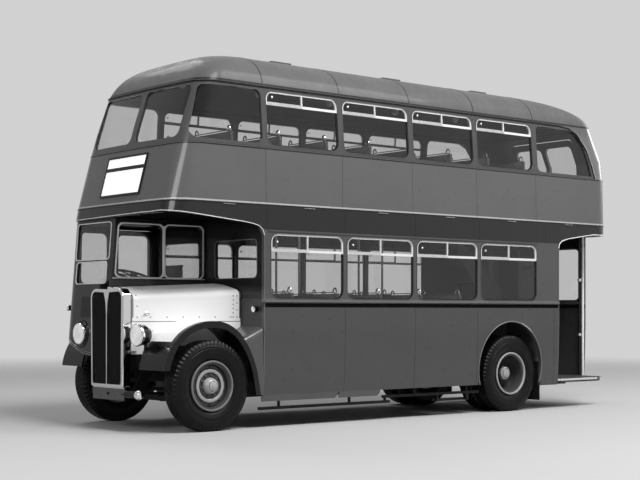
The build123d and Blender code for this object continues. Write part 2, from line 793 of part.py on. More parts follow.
def rear_axle_casing():
    """Rear axle tube with its offset differential, worm nose and wheel spindles."""
    low, high = DIFF_X - 90, DIFF_X + 90
    profile = (
        (-520, 0), (-520, 60), (low - 40, 66), (low, 135), (high, 135), (high + 40, 66), (520, 60), (520, 0))
    axle = spun(profile)
    axle += spun(((-SPINDLE_END, 0), (-SPINDLE_END, SPINDLE_R), (SPINDLE_END, SPINDLE_R), (SPINDLE_END, 0)))
    axle = Pos(0, WHEELBASE, TYRE_R) * axle
    axle += rod((DIFF_X, WHEELBASE - 60, TYRE_R), (DIFF_X, WHEELBASE - 188, TYRE_R), 60)
    return axle


parts["rear_axle_casing"] = rear_axle_casing()


def gearbox_and_propshaft():
    """Gearbox amidships with a shaft ahead of and behind it."""
    box = Pos(ENGINE_MID, 2000, 460) * Rot(90, 0, 0) * Cylinder(118, 640)
    box += block((ENGINE_MID - 350, ENGINE_MID + 350), (1960, 2010), (560, 590))
    box += rod((ENGINE_MID, 600, 620), (ENGINE_MID, 1700, 465), 36)
    box += rod((ENGINE_MID, 2300, 460), (DIFF_X, 4790, 512), 38)
    return box - parts["rear_axle_casing"]


parts["gearbox_and_propshaft"] = gearbox_and_propshaft()


def fuel_tank():
    """Tank under the offside, hung from two bearers, with rounded lower edges."""
    tank = block((-960, -520), (1010, 2095), (330, 605))
    low_edges = [e for e in tank.edges().filter_by(Axis.Y) if e.center().Z < 400]
    return fillet(low_edges, 90)


parts["fuel_tank"] = fuel_tank()

EXHAUST = (
    (290, 260, 900), (345, 260, 900), (345, 260, 600), (330, 900, 540), (250, 2300, 490),
    (250, 4250, 490), (250, 4650, 618), (250, 5350, 618), (330, 5600, 420))
EXHAUST_BENDS = (26, 60, 90, 300, 300, 250, 250)


def exhaust():
    """Pipe from the manifold back over the rear axle, with its silencer."""
    tube = pipe(EXHAUST, EXHAUST_BENDS, 27)
    tube += Pos(250, 3300, 490) * Rot(90, 0, 0) * Cylinder(98, 900)
    return tube


parts["exhaust"] = exhaust()

# x, y from, y to, height of the bars under the skirt
GUARD_BARS = ((1030, 700, 2770, 225), (1030, 2650, 4380, 290), (1000, 3550, 4220, 207))

# x from, y, y thickness, bottom, top of the hangers
GUARD_HANGERS = (
    (1016, BEARERS[0], 24, 208, 605),
    (1016, BEARERS[1], 24, 208, 605),
    (1016, BEARERS[2], 24, 273, 605),
    (1016, BEARERS[3], 24, 190, 605),
    (1016, 2692, 24, 208, 307),
    (986, 4172, 24, 190, 307),
    (986, 3612, 24, 190, 307),
)


def side_guards():
    """Guard rails between the wheels on both sides, hung from the body bearers."""
    pieces = []
    for side, _ in SIDES:
        rail = [side_block(side, (x - 14, x + 14), (y0, y1), (z - 17, z + 17)) for x, y0, y1, z in GUARD_BARS]
        for x, y, thick, low, high in GUARD_HANGERS:
            rail.append(side_block(side, (x, 1044), (y - thick / 2, y + thick / 2), (low, high)))
        pieces.append(joined(rail))
    return joined(pieces)


parts["side_guards"] = side_guards()


def front_axle_beam():
    """Dropped beam with an eye at each end for the kingpin."""
    outline_points = (
        (-742, 430), (-640, 430), (-540, 300), (540, 300), (640, 430), (742, 430),
        (742, 540), (600, 520), (500, 375), (-500, 375), (-600, 520), (-742, 540))
    beam = along_y(polygon(outline_points), (-38, 38))
    for side, _ in SIDES:
        eye = Pos(side * KINGPIN_X, 0, 485) * Cylinder(42, 110)
        neck = side_block(side, (735, KINGPIN_X), (-30, 30), (440, 530))
        beam += neck + eye
        beam -= Pos(side * KINGPIN_X, 0, 485) * Cylinder(20.05, 200)
    return beam


parts["front_axle_beam"] = front_axle_beam()


def knuckle(side):
    """Steering knuckle: forked round the beam's eye, with its pin, stub axle, back plate and steering arm."""
    x = KINGPIN_X
    piece = Pos(x, 0, 485) * Cylinder(20, 190)
    for low, high in ((546, 580), (390, 424)):
        piece += Pos(x, 0, (low + high) / 2) * Cylinder(44, high - low)
        piece += block((x, x + 80), (-44, 44), (low, high))
    piece += block((x + 52, x + 82), (-44, 44), (390, 640))
    piece += rod((x + 60, 0, TYRE_R), (x + 285, 0, TYRE_R), STUB_R)
    piece += rod((x + 60, 0, TYRE_R), (x + 74, 0, TYRE_R), 190)
    arm = polygon(((x - 20, 30), (x + 25, 40), (x - 42, 215), (x - 82, 205)))
    piece += along_z(arm, (390, 412))
    return piece if side > 0 else mirror(piece, Plane.YZ)


for side, name in SIDES:
    parts[f"{name}_knuckle"] = knuckle(side)

TRACK_Y = 190
TRACK_X = 740


def track_rod():
    """Bar behind the axle between the two steering arms."""
    bar = rod((-TRACK_X - 20, TRACK_Y, 335), (TRACK_X + 20, TRACK_Y, 335), 17)
    for side, _ in SIDES:
        bar += rod((side * TRACK_X, TRACK_Y, 335), (side * TRACK_X, TRACK_Y, 382), 15)
    return bar


parts["track_rod"] = track_rod()


# thickness of a leaf, and the length of each leaf as a share of the top one
LEAF_T = 14
LEAVES = (1.0, 0.78, 0.56, 0.34)


def spring(side, centre, ahead, behind, top, shackles):
    """Stack of leaves that shorten downwards, with its shackles: place, bottom and top of each."""
    pieces = []
    for index, share in enumerate(LEAVES):
        z = (top - LEAF_T * (index + 1), top - LEAF_T * index)
        pieces.append(side_block(side, (398, 462), (centre - ahead * share, centre + behind * share), z))
    for y, low, high in shackles:
        pieces.append(side_block(side, (405, 455), (y - 18, y + 18), (low, high)))
    return joined(pieces)


def leaf_springs():
    """The four springs and their shackles."""
    pieces = []
    for side, _ in SIDES:
        pieces.append(spring(side, 0, 540, 560, 431, ((545, 420, 660),)))
        rear_shackles = ((WHEELBASE - 620, 445, 500), (WHEELBASE + 620, 445, 585))
        pieces.append(spring(side, WHEELBASE, 640, 640, 457, rear_shackles))
    return joined(pieces) - parts["rear_axle_casing"] - parts["chassis_side_members"]


parts["leaf_springs"] = leaf_springs()


# Wheels


# half width, radius from the bead outwards
TYRE_SECTION = [
    (84, RIM_R), (84, 284), (106, 304), (TYRE_W / 2, 370), (TYRE_W / 2 - 3, 430),
    (TYRE_W / 2 - 14, 480), (TYRE_W / 2 - 34, 508), (TYRE_W / 2 - 48, TYRE_R)]


def tyre(x):
    """One tyre centred at x, with a square-shouldered section."""
    inner = [(-t, r) for t, r in TYRE_SECTION]
    section = inner + TYRE_SECTION[::-1]
    return Pos(x, 0, TYRE_R) * spun(section)


def barrel(x):
    """Rim barrel with its two flanges, centred at x."""
    section = (
        (-95, 240), (-95, 282), (-85, 282), (-85, RIM_R - 0.4),
        (85, RIM_R - 0.4), (85, 282), (95, 282), (95, 240))
    return Pos(x, 0, 0) * spun(section)


def holes(x, count, at_radius, radius):
    """Ring of hand holes through a wheel disc."""
    pattern = []
    for n in range(count):
        angle = 2 * math.pi * (n + 0.5) / count
        centre = Pos(x, at_radius * math.cos(angle), at_radius * math.sin(angle))
        pattern.append(centre * Rot(0, 90, 0) * Cylinder(radius, 120))
    return joined(pattern)


def front_rim(side):
    """Front wheel: rim, stepped disc with hand holes, hub and cap."""
    x = FRONT_TYRE_X
    outer_face = (
        (x + 16, 241), (x + 44, 236), (x + 54, 227), (x + 54, 199), (x + 70, 190), (x + 74, 171),
        (x + 70, 152), (x + 52, 144), (x + 52, 0))
    inner_face = (
        (x + 40, 0), (x + 40, 150), (x + 58, 160), (x + 60, 182), (x + 42, 195), (x + 42, 222), (x + 32, 229),
        (x + 6, 241))
    wheel = barrel(x) + spun(outer_face + inner_face) - holes(x + 48, 10, 213, 11)
    hub = ((x - 95, 0), (x - 95, 92), (x + 50, 92), (x + 92, 86), (x + 118, 76), (x + 134, 56), (x + 140, 24),
           (x + 140, 0))
    drum = ((x - 100, 0), (x - 100, 178), (x - 30, 178), (x - 20, 0))
    wheel += spun(hub) + spun(drum)
    wheel -= rod((x - 200, 0, 0), (KINGPIN_X + 286, 0, 0), STUB_R + BORE_GAP)
    wheel = Pos(0, 0, TYRE_R) * wheel
    return wheel if side > 0 else mirror(wheel, Plane.YZ)


def rear_rim(side):
    """Twin rear wheel: two rims on one pair of discs, with a small hub deep inside."""
    inner_x, outer_x = REAR_TYRE_X
    middle = (inner_x + outer_x) / 2
    disc = spun(((middle - 12, 60), (middle - 12, 208), (middle + 12, 208), (middle + 12, 60)))
    disc += spun(((middle, 196), (middle + 12, 194), (outer_x - 40, 244), (outer_x - 58, 244)))
    disc += spun(((middle, 196), (middle - 12, 194), (inner_x + 40, 244), (inner_x + 58, 244)))
    disc = disc - holes(middle, 8, 160, 22)
    wheel = barrel(inner_x) + barrel(outer_x) + disc
    hub = (
        (inner_x - 90, 0), (inner_x - 90, 180), (inner_x + 20, 180), (middle, 110), (middle + 20, 92),
        (outer_x + 14, 86), (outer_x + 34, 66), (outer_x + 40, 30), (outer_x + 40, 0))
    wheel += spun(hub)
    wheel -= rod((inner_x - 200, 0, 0), (SPINDLE_END + 1, 0, 0), SPINDLE_R + BORE_GAP)
    wheel = Pos(0, WHEELBASE, TYRE_R) * wheel
    return wheel if side > 0 else mirror(wheel, Plane.YZ)


for side, name in SIDES:
    parts[f"front_{name}_tyre"] = tyre(side * FRONT_TYRE_X)
    parts[f"front_{name}_rim"] = front_rim(side)
    pair = [Pos(0, WHEELBASE, 0) * tyre(side * x) for x in REAR_TYRE_X]
    parts[f"rear_{name}_tyres"] = Compound(children=pair)
    parts[f"rear_{name}_rims"] = rear_rim(side)


# Inside


SEAT_PITCH = 711
UPPER_ROWS = [1055 + SEAT_PITCH * n for n in range(-1, 7)]
LOWER_ROWS = [1230 + SEAT_PITCH * n for n in range(5)]
SEAT_X = (255, 1035)
CUSHION = (420, 110)
BACK_TOP = 900


def seats():
    """Cushions, backs and legs of every double seat on both decks."""
    cushions, backs, frames = [], [], []
    decks = ((UPPER_ROWS, UPPER_FLOOR_Z[1]), (LOWER_ROWS, FLOOR_Z))
    for rows, floor in decks:
        for y in rows:
            for side, name in SIDES:
                over_stairs = name == "offside" and floor > 2000 and y > 5000
                if over_stairs:
                    continue
                seat_z = floor + 340
                cushions.append(side_block(side, SEAT_X, (y - 470, y - 50), (seat_z, seat_z + CUSHION[1])))
                backs.append(side_block(side, SEAT_X, (y - 48, y + 30), (seat_z, floor + BACK_TOP)))
                frames.append(side_block(side, (300, 330), (y - 400, y - 120), (floor, seat_z)))
                frames.append(side_block(side, (940, 970), (y - 400, y - 120), (floor, seat_z)))
    for side, _ in SIDES:
        cushions.append(side_block(side, (560, 1080), (4310, 5530), (1242, 1330)))
    return cushions, backs, frames


cushions, backs, frames = seats()
parts["seat_cushions"] = Compound(children=cushions)
parts["seat_backs"] = Compound(children=backs)
parts["seat_frames"] = Compound(children=frames)

POLE_ROWS = (1, 3)


def handrails():
    """Platform pole, and the upright poles beside the lower saloon's gangway."""
    pieces = [rod((690, 6965, PLATFORM_Z[1]), (690, 6965, UPPER_FLOOR_Z[0]), 17)]
    for index in POLE_ROWS:
        for side, _ in SIDES:
            y = LOWER_ROWS[index] + 12
            pieces.append(rod((side * 236, y, FLOOR_Z), (side * 236, y, UPPER_FLOOR_Z[0]), 15))
    return Compound(children=pieces)


parts["handrails"] = handrails()


def driver_seat():
    """Driver's seat on its pedestal."""
    seat = block((-620, -400), (330, 520), (1100, 1430))
    seat += block((-780, -370), (230, 600), (1430, 1530))
    seat += block((-780, -370), (560, 640), (1530, 1960))
    return seat


parts["driver_seat"] = driver_seat()


def steering_column():
    """Steering wheel with its spokes on a raked column."""
    centre = (-590, 20, 1790)
    plane = Plane(origin=centre, z_dir=(0, 0.30, 1))
    ring = plane * Torus(225, 15)
    for angle in (0, 60, 120):
        ring += plane * Rot(0, 0, angle) * Box(440, 20, 12)
    ring += plane * Cylinder(45, 40)
    foot = Vector(*centre) - Vector(0, 0.30, 1) * 690
    ring += rod((foot.X, foot.Y, foot.Z), centre, 22)
    return ring - block((-2000, 0), (-1000, 1000), (0, 1100))


parts["steering_column"] = steering_column()


# Glass and bright frames


def vent_frames():
    """Bright frames round the sliding upper part of each side window."""
    frames = []
    lower_skin = along_y(lower_profile(6) - lower_profile(32), (700, 5900))
    upper_skin = body_loft(6) - body_loft(32)
    for (windows, bar_z), skin in zip(VENT_BARS, (lower_skin, upper_skin)):
        for (y0, z0), (y1, z1) in windows:
            middle = (y0 + y1) / 2
            frame = window((y0, z0), (y1, z1), WINDOW_R) & Pos(middle, bar_z + 500) * Rectangle(2000, 1000)
            panes = window((y0 + FRAME_W, z0), (y1 - FRAME_W, z1 - FRAME_W), WINDOW_R - FRAME_W)
            panes &= Pos(middle, bar_z + 30 + 500) * Rectangle(2000, 1000)
            panes -= Pos(middle, z1) * Rectangle(14, 1000)
            bars = skin & along_x(frame - panes, (-1300, 1300))
            frames += list(bars.solids())
    return Compound(children=frames)


parts["vent_frames"] = vent_frames()


def window_glass():
    """Panes of both decks, the bulkhead, the cab and the platform, each filling its opening."""
    lower_skin = along_y(lower_profile(18) - lower_profile(23), (700, 5900))
    upper_skin = body_loft(18) - body_loft(23)
    panes = []
    for cut in lower_cuts:
        panes += (lower_skin & cut).solids()
    panes += (upper_skin & upper_cuts).solids()
    glass = []
    for pane in panes:
        glass += (pane - parts["vent_frames"]).solids()
    for face, y in ((BULKHEAD_PANES[0], BULKHEAD_Y + 20), (BULKHEAD_PANES[1], BULKHEAD_Y + 20),
                    (PLATFORM_PANE, REAR_BULKHEAD_Y - 25), (REAR_PANE, REAR_Y - 25)):
        glass.append(along_y(face, (y, y + 5)))
    cab_skin = cab_solid(18) - cab_solid(23)
    glass += (cab_skin & cab_openings).solids()
    return Compound(children=glass)


parts["window_glass"] = window_glass()

for name, shape in parts.items():
    whole = Compound(children=[Pos(0, -CENTRE_Y, 0) * solid for solid in shape.solids()])
    if len(whole.solids()) == 1:
        whole = whole.solids()[0]
    export_step(whole, f"parts/{name}.step")
    print(name, len(shape.solids()), "solids")
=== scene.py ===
import json
import math

import bmesh
import bpy
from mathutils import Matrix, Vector
from mathutils.bvhtree import BVHTree


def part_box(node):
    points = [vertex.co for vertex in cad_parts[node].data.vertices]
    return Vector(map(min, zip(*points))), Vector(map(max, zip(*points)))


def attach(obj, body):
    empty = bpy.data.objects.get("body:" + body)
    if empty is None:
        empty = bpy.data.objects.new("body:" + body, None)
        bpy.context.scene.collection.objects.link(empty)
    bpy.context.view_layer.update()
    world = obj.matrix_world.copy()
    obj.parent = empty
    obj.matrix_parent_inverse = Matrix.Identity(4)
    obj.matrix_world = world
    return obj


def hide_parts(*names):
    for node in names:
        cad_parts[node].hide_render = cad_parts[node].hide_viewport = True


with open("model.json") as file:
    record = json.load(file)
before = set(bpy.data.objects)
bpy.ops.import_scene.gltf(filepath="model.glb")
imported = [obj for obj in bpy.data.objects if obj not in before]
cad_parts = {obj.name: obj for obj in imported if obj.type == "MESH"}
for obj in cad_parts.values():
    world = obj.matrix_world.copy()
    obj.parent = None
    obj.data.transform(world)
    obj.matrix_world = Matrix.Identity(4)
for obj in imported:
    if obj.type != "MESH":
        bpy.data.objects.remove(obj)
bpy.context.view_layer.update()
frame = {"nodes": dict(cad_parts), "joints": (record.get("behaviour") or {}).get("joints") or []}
NODES = frame["nodes"]
JOINT_AT = {joint["name"]: joint.get("pos_m") for joint in frame["joints"]}

# Metres. The front of the bus faces -Y and +X is its nearside.
# Lengths along the bus are measured from the front axle.
AXLE_Y = JOINT_AT["steer_nearside"][1]
TYRE_R = JOINT_AT["spin_front_nearside"][2]
MOULDING = 0.012
HALF_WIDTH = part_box("lower_nearside_wall")[1].x - MOULDING
BAY = 1.172
BAYS = 4
BULKHEAD = 0.700
SKIRT_Z = 0.382

# height, half width of the body sides from the skirt to the gutter
SIDE = (
    (0.335, 1.108), (0.700, 1.131), (1.150, 1.143), (2.593, 1.143),
    (3.245, 1.133), (3.520, 1.115), (3.978, 1.077),
)

# height, half width, front, rear and front corner radius of the upper body
UPPER_PLANS = (
    (2.180, 1.143, -0.660, 7.065, 0.290), (2.593, 1.143, -0.577, 7.065, 0.290),
    (3.245, 1.133, -0.400, 7.060, 0.280), (3.520, 1.115, -0.320, 7.035, 0.270),
    (3.978, 1.077, -0.165, 6.815, 0.260), (4.120, 1.030, -0.080, 6.650, 0.270),
)
REAR_CORNER_R = 0.300
BOW = 0.040

# front and bottom, rear and top of the first window of each deck, and the height of its vent bar
LOWER_WINDOW = ((0.805, 1.507), (1.913, 2.262), 2.050)
UPPER_WINDOW = ((0.765, 3.290), (1.852, 3.926), 3.760)
WINDOW_R = 0.095

# distance behind the front axle and height of the gutter's line,
# from the last bay down behind the rear side window
SWEEP = ((6.000, 3.968), (6.160, 3.950), (6.340, 3.880), (6.530, 3.670), (6.640, 3.430), (6.700, 3.252))

LAMP_X, LAMP_Y, LAMP_Z = 0.640, -0.655, 1.090
NEARSIDE, OFFSIDE = 1, -1
SIDES = (NEARSIDE, OFFSIDE)
X, Y, Z = Vector((1, 0, 0)), Vector((0, 1, 0)), Vector((0, 0, 1))


def along(y):
    """Y in the row frame of a distance behind the front axle."""
    return AXLE_Y + y


def at(x, y, z):
    """Point of the row frame, its Y given as a distance behind the front axle."""
    return Vector((x, along(y), z))


def side_x(z):
    """Half width of the body's outside at a height."""
    for (z0, x0), (z1, x1) in zip(SIDE, SIDE[1:]):
        if z <= z1:
            return x0 + (x1 - x0) * max(0.0, z - z0) / (z1 - z0)
    return SIDE[-1][1]


# Node helpers


def feed(tree, target, inputs):
    """Sets a node's inputs, each to a value or by a link from another node's output."""
    for key, value in inputs.items():
        if isinstance(value, bpy.types.NodeSocket):
            tree.links.new(value, target.inputs[key])
        else:
            target.inputs[key].default_value = value


def node(tree, kind, inputs=None, **settings):
    """New shader node with its settings and inputs."""
    made = tree.nodes.new("ShaderNode" + kind)
    for key, value in settings.items():
        setattr(made, key, value)
    feed(tree, made, inputs or {})
    return made


def find(tree, kind):
    """First node of a type."""
    return next(n for n in tree.nodes if n.type == kind)


def grey(value):
    """RGBA of a neutral tone."""
    return (value, value, value, 1.0)


def noise(tree, scale, detail=3.0, stretch=None):
    """Noise in the object's own coordinates."""
    source = node(tree, "TexCoord").outputs["Object"]
    if stretch:
        source = node(tree, "Mapping", {"Vector": source, "Scale": stretch}).outputs["Vector"]
    return node(tree, "TexNoise", {"Vector": source, "Scale": scale, "Detail": detail}).outputs["Fac"]


def ramp(tree, source, stops, constant=False):
    """Colour ramp over a value, from (position, tone) stops."""
    made = node(tree, "ValToRGB", {"Fac": source})
    made.color_ramp.interpolation = "CONSTANT" if constant else "LINEAR"
    elements = made.color_ramp.elements
    for position, tone in stops[1:-1]:
        elements.new(position).color = grey(tone)
    for element, (position, tone) in ((elements[0], stops[0]), (elements[-1], stops[-1])):
        element.position = position
        element.color = grey(tone)
    return made.outputs["Color"]


def patches(tree, scale, detail, low, high, start=0.3, end=0.7):
    """Noise spread between two tones."""
    return ramp(tree, noise(tree, scale, detail), ((start, low), (end, high)))


def axes(tree, kind="Object"):
    """X, Y and Z of the object's own coordinates, of its normal or of the world's direction."""
    source = node(tree, "TexCoord").outputs[kind]
    return node(tree, "SeparateXYZ", {"Vector": source}).outputs


def height(tree, low, high):
    """0 at one height and 1 at another, in the object's own coordinates."""
    limits = {"Value": axes(tree)["Z"], "From Min": low, "From Max": high}
    return node(tree, "MapRange", limits).outputs["Result"]


def reckon(tree, operation, a, b):
    """Math node over two values."""
    return node(tree, "Math", {0: a, 1: b}, operation=operation).outputs["Value"]


def multiply(tree, a, b):
    """Product of two colours."""
    inputs = {"Factor": 1.0, "A": a, "B": b}
    return node(tree, "Mix", inputs, data_type="RGBA", blend_type="MULTIPLY").outputs["Result"]


def bump(tree, shader, source, strength, distance):
    """Bump from a value onto the shader, on top of what it has."""
    made = node(tree, "Bump", {"Height": source, "Strength": strength, "Distance": distance})
    links = shader.inputs["Normal"].links
    if links:
        feed(tree, made, {"Normal": links[0].from_socket})
    feed(tree, shader, {"Normal": made.outputs["Normal"]})


def overpaint(material, amount, colour):
    """Lays another base colour over a material's own where the amount is 1."""
    tree = material.node_tree
    shader = find(tree, "BSDF_PRINCIPLED")
    below = shader.inputs["Base Color"].links[0].from_socket
    swap = node(tree, "Mix", {"Factor": amount, "A": below, "B": colour}, data_type="RGBA")
    feed(tree, shader, {"Base Color": swap.outputs["Result"]})
    return material


def mix_shaders(tree, output, amount, first, second):
    """Shows the first shader where the amount is 0 and the second where it is 1."""
    mix = node(tree, "MixShader", {"Fac": amount, 1: first, 2: second})
    feed(tree, output, {"Surface": mix.outputs["Shader"]})


# Materials


def new_material(name):
    """Material with an empty node tree, its shader and its output."""
    material = bpy.data.materials.new(name)
    material.use_nodes = True
    tree = material.node_tree
    tree.nodes.clear()
    shader = node(tree, "BsdfPrincipled")
    node(tree, "OutputMaterial", {"Surface": shader.outputs["BSDF"]})
    return material, tree, shader


def paint(name, bands, rough=0.32, coat=0.5, mottle=0.10, wave=0.15, spec=0.2):
    """Gloss paint over sheet panels: one tone or tones by height, faint mottling and shallow waves."""
    material, tree, shader = new_material(name)
    top = 5.0
    if isinstance(bands, float):
        bands = ((0.0, bands), (top, bands))
    tones = ramp(tree, height(tree, 0.0, top), [(z / top, tone) for z, tone in bands], constant=True)
    feed(tree, shader, {
        "Base Color": multiply(tree, tones, patches(tree, 2.2, 4.0, 1.0 - mottle, 1.0 + mottle * 0.5)),
        "Roughness": patches(tree, 14.0, 5.0, rough * 0.8, rough * 1.35, end=0.8),
        "Coat Weight": coat,
        "Coat Roughness": 0.08,
        "Specular IOR Level": spec,
    })
    if wave:
        bump(tree, shader, noise(tree, 1.6, 1.5), wave, 0.010)
    return material


def rear_quarter(material):
    """Gives the part of a body material behind the swept gutter the roof's tone raised 1.5 to 1.65 times as
    painted light, for the less light its steeper faces get, fading darker towards the gutter to meet the
    roof.
    """
    tree = material.node_tree
    place = axes(tree)
    first_y, high_z = SWEEP[0]
    low_z = SWEEP[-1][1]
    stops = [((z - low_z) / (high_z - low_z), y - first_y) for y, z in reversed(SWEEP)]
    setback = reckon(tree, "SUBTRACT", place["Y"], along(first_y))
    behind = reckon(tree, "GREATER_THAN", setback, ramp(tree, height(tree, low_z, high_z), stops))
    above = reckon(tree, "GREATER_THAN", place["Z"], low_z)
    tone = patches(tree, 2.2, 4.0, ROOF_TONE * 1.50, ROOF_TONE * 1.65)
    painted_light_taper = ramp(tree, height(tree, low_z, high_z), ((0.0, 1.0), (0.75, 0.95), (1.0, 0.65)))
    return overpaint(material, reckon(tree, "MULTIPLY", behind, above), multiply(tree, tone, painted_light_taper))


def white_crown(material):
    """Paints the top of the nearside wing white inboard of its lip, like the bonnet beside it."""
    tree = material.node_tree
    place, facing = axes(tree), axes(tree, "Normal")
    amount = reckon(tree, "GREATER_THAN", place["X"], 0.0)
    for value, operation, limit in ((place["X"], "LESS_THAN", 1.065), (place["Z"], "GREATER_THAN", 1.020),
                                    (facing["Z"], "GREATER_THAN", 0.05)):
        amount = reckon(tree, "MULTIPLY", amount, reckon(tree, operation, value, limit))
    return overpaint(material, amount, patches(tree, 2.2, 4.0, 0.83, 0.88))


def bare_metal(name, tone, rough, brushed=0.0):
    """Bright metal with faint smudges, brushed along the bus when asked."""
    material, tree, shader = new_material(name)
    feed(tree, shader, {
        "Metallic": 1.0,
        "Base Color": patches(tree, 6.0, 4.0, tone * 0.92, tone),
        "Roughness": patches(tree, 18.0, 5.0, rough, rough * 1.5, start=0.35, end=0.8),
    })
    if brushed:
        bump(tree, shader, noise(tree, 60.0, 2.0, (1.0, 0.04, 1.0)), brushed, 0.0005)
    bump(tree, shader, noise(tree, 30.0, 3.0), 0.04, 0.0006)
    return material


def matt(name, tone, rough=0.7, scale=40.0, depth=0.001, mottle=0.25, spec=0.4, glow=0.0):
    """Matt surface with grain; its glow, where it is given one, is painted light of its own."""
    material, tree, shader = new_material(name)
    feed(tree, shader, {
        "Base Color": patches(tree, scale / 6, 5.0, tone * (1.0 - mottle), tone * (1.0 + mottle), end=0.75),
        "Roughness": patches(tree, scale / 3, 3.0, rough * 0.85, min(1.0, rough * 1.15), end=0.8),
        "Specular IOR Level": spec,
        "Emission Strength": glow,
    })
    bump(tree, shader, noise(tree, scale, 4.0), 0.3, depth)
    return material


def glass(name, tint):
    """Thin clear glass: see-through, with a mirror reflection that grows towards grazing views."""
    material, tree, shader = new_material(name)
    feed(tree, shader, {
        "Metallic": 1.0,
        "Base Color": patches(tree, 3.0, 4.0, 0.86, 0.95, end=0.8),
        "Roughness": 0.015,
    })
    bump(tree, shader, noise(tree, 1.3, 1.0), 0.05, 0.002)
    clear = node(tree, "BsdfTransparent", {"Color": grey(tint)})
    facing = node(tree, "LayerWeight").outputs["Facing"]
    share = ramp(tree, facing, ((0.0, 0.03), (0.45, 0.05), (0.75, 0.18), (1.0, 1.0)))
    mix_shaders(tree, find(tree, "OUTPUT_MATERIAL"), share, clear.outputs["BSDF"], shader.outputs["BSDF"])
    return material


def cloth(name, tone):
    """Patterned woven seat cloth: fine weave with a small repeated check, and sheen."""
    material, tree, shader = new_material(name)
    place = node(tree, "TexCoord").outputs["Object"]
    check = node(tree, "TexChecker", {
        "Vector": place, "Scale": 22.0, "Color1": grey(tone), "Color2": grey(tone * 0.55),
    })
    weave = node(tree, "TexWave", {"Vector": place, "Scale": 180.0})
    feed(tree, shader, {
        "Base Color": multiply(tree, check.outputs["Color"], patches(tree, 5.0, 5.0, 0.8, 1.15)),
        "Roughness": 0.9,
        "Sheen Weight": 0.3,
    })
    bump(tree, shader, weave.outputs["Fac"], 0.25, 0.0006)
    return material


def timber(name, tone):
    """Varnished boards with a long grain."""
    material, tree, shader = new_material(name)
    grain = ramp(tree, noise(tree, 24.0, 6.0, (1.0, 0.06, 1.0)), ((0.3, tone * 0.6), (0.7, tone * 1.2)))
    feed(tree, shader, {"Base Color": grain, "Roughness": 0.5})
    bump(tree, shader, noise(tree, 60.0, 4.0, (1.0, 0.05, 1.0)), 0.2, 0.001)
    return material


ROOF_TONE = 0.088

# height from which each tone of the body holds: skirt, dark line, waist rail, pillars, dark band, beading,
# upper panels, dark line, window band, gutter. Much of this is painted light and shade: the dark lines under
# the waist rail, under the upper sill and at the gutter are painted shadow, the dark band under the beading
# is painted shade, the light waist rail and beading are painted highlights, and the upper panels are lighter
# than the skirt as a painted reflection of the sky.
BODY_LIGHT_AND_SHADE_BANDS = (
    (0.0, 0.054), (1.400, 0.005), (1.456, 0.120), (1.492, 0.066), (2.299, 0.012), (2.586, 0.400),
    (2.601, 0.098), (3.238, 0.005), (3.252, 0.060), (3.962, 0.006),
)
# joint strips: the body's tones, with their painted light and shade, darkened for the joints
SEAM_BANDS = [(z, tone * 0.6) for z, tone in BODY_LIGHT_AND_SHADE_BANDS]
# cab front and door: the body's grey darkened upwards, painted shade under the canopy
FRONT_SHADE_BANDS = ((0.0, 0.030), (1.70, 0.012), (2.36, 0.006))
LINING_BANDS = ((0.0, 0.06), (2.30, 0.30), (2.60, 0.06), (3.90, 0.30))
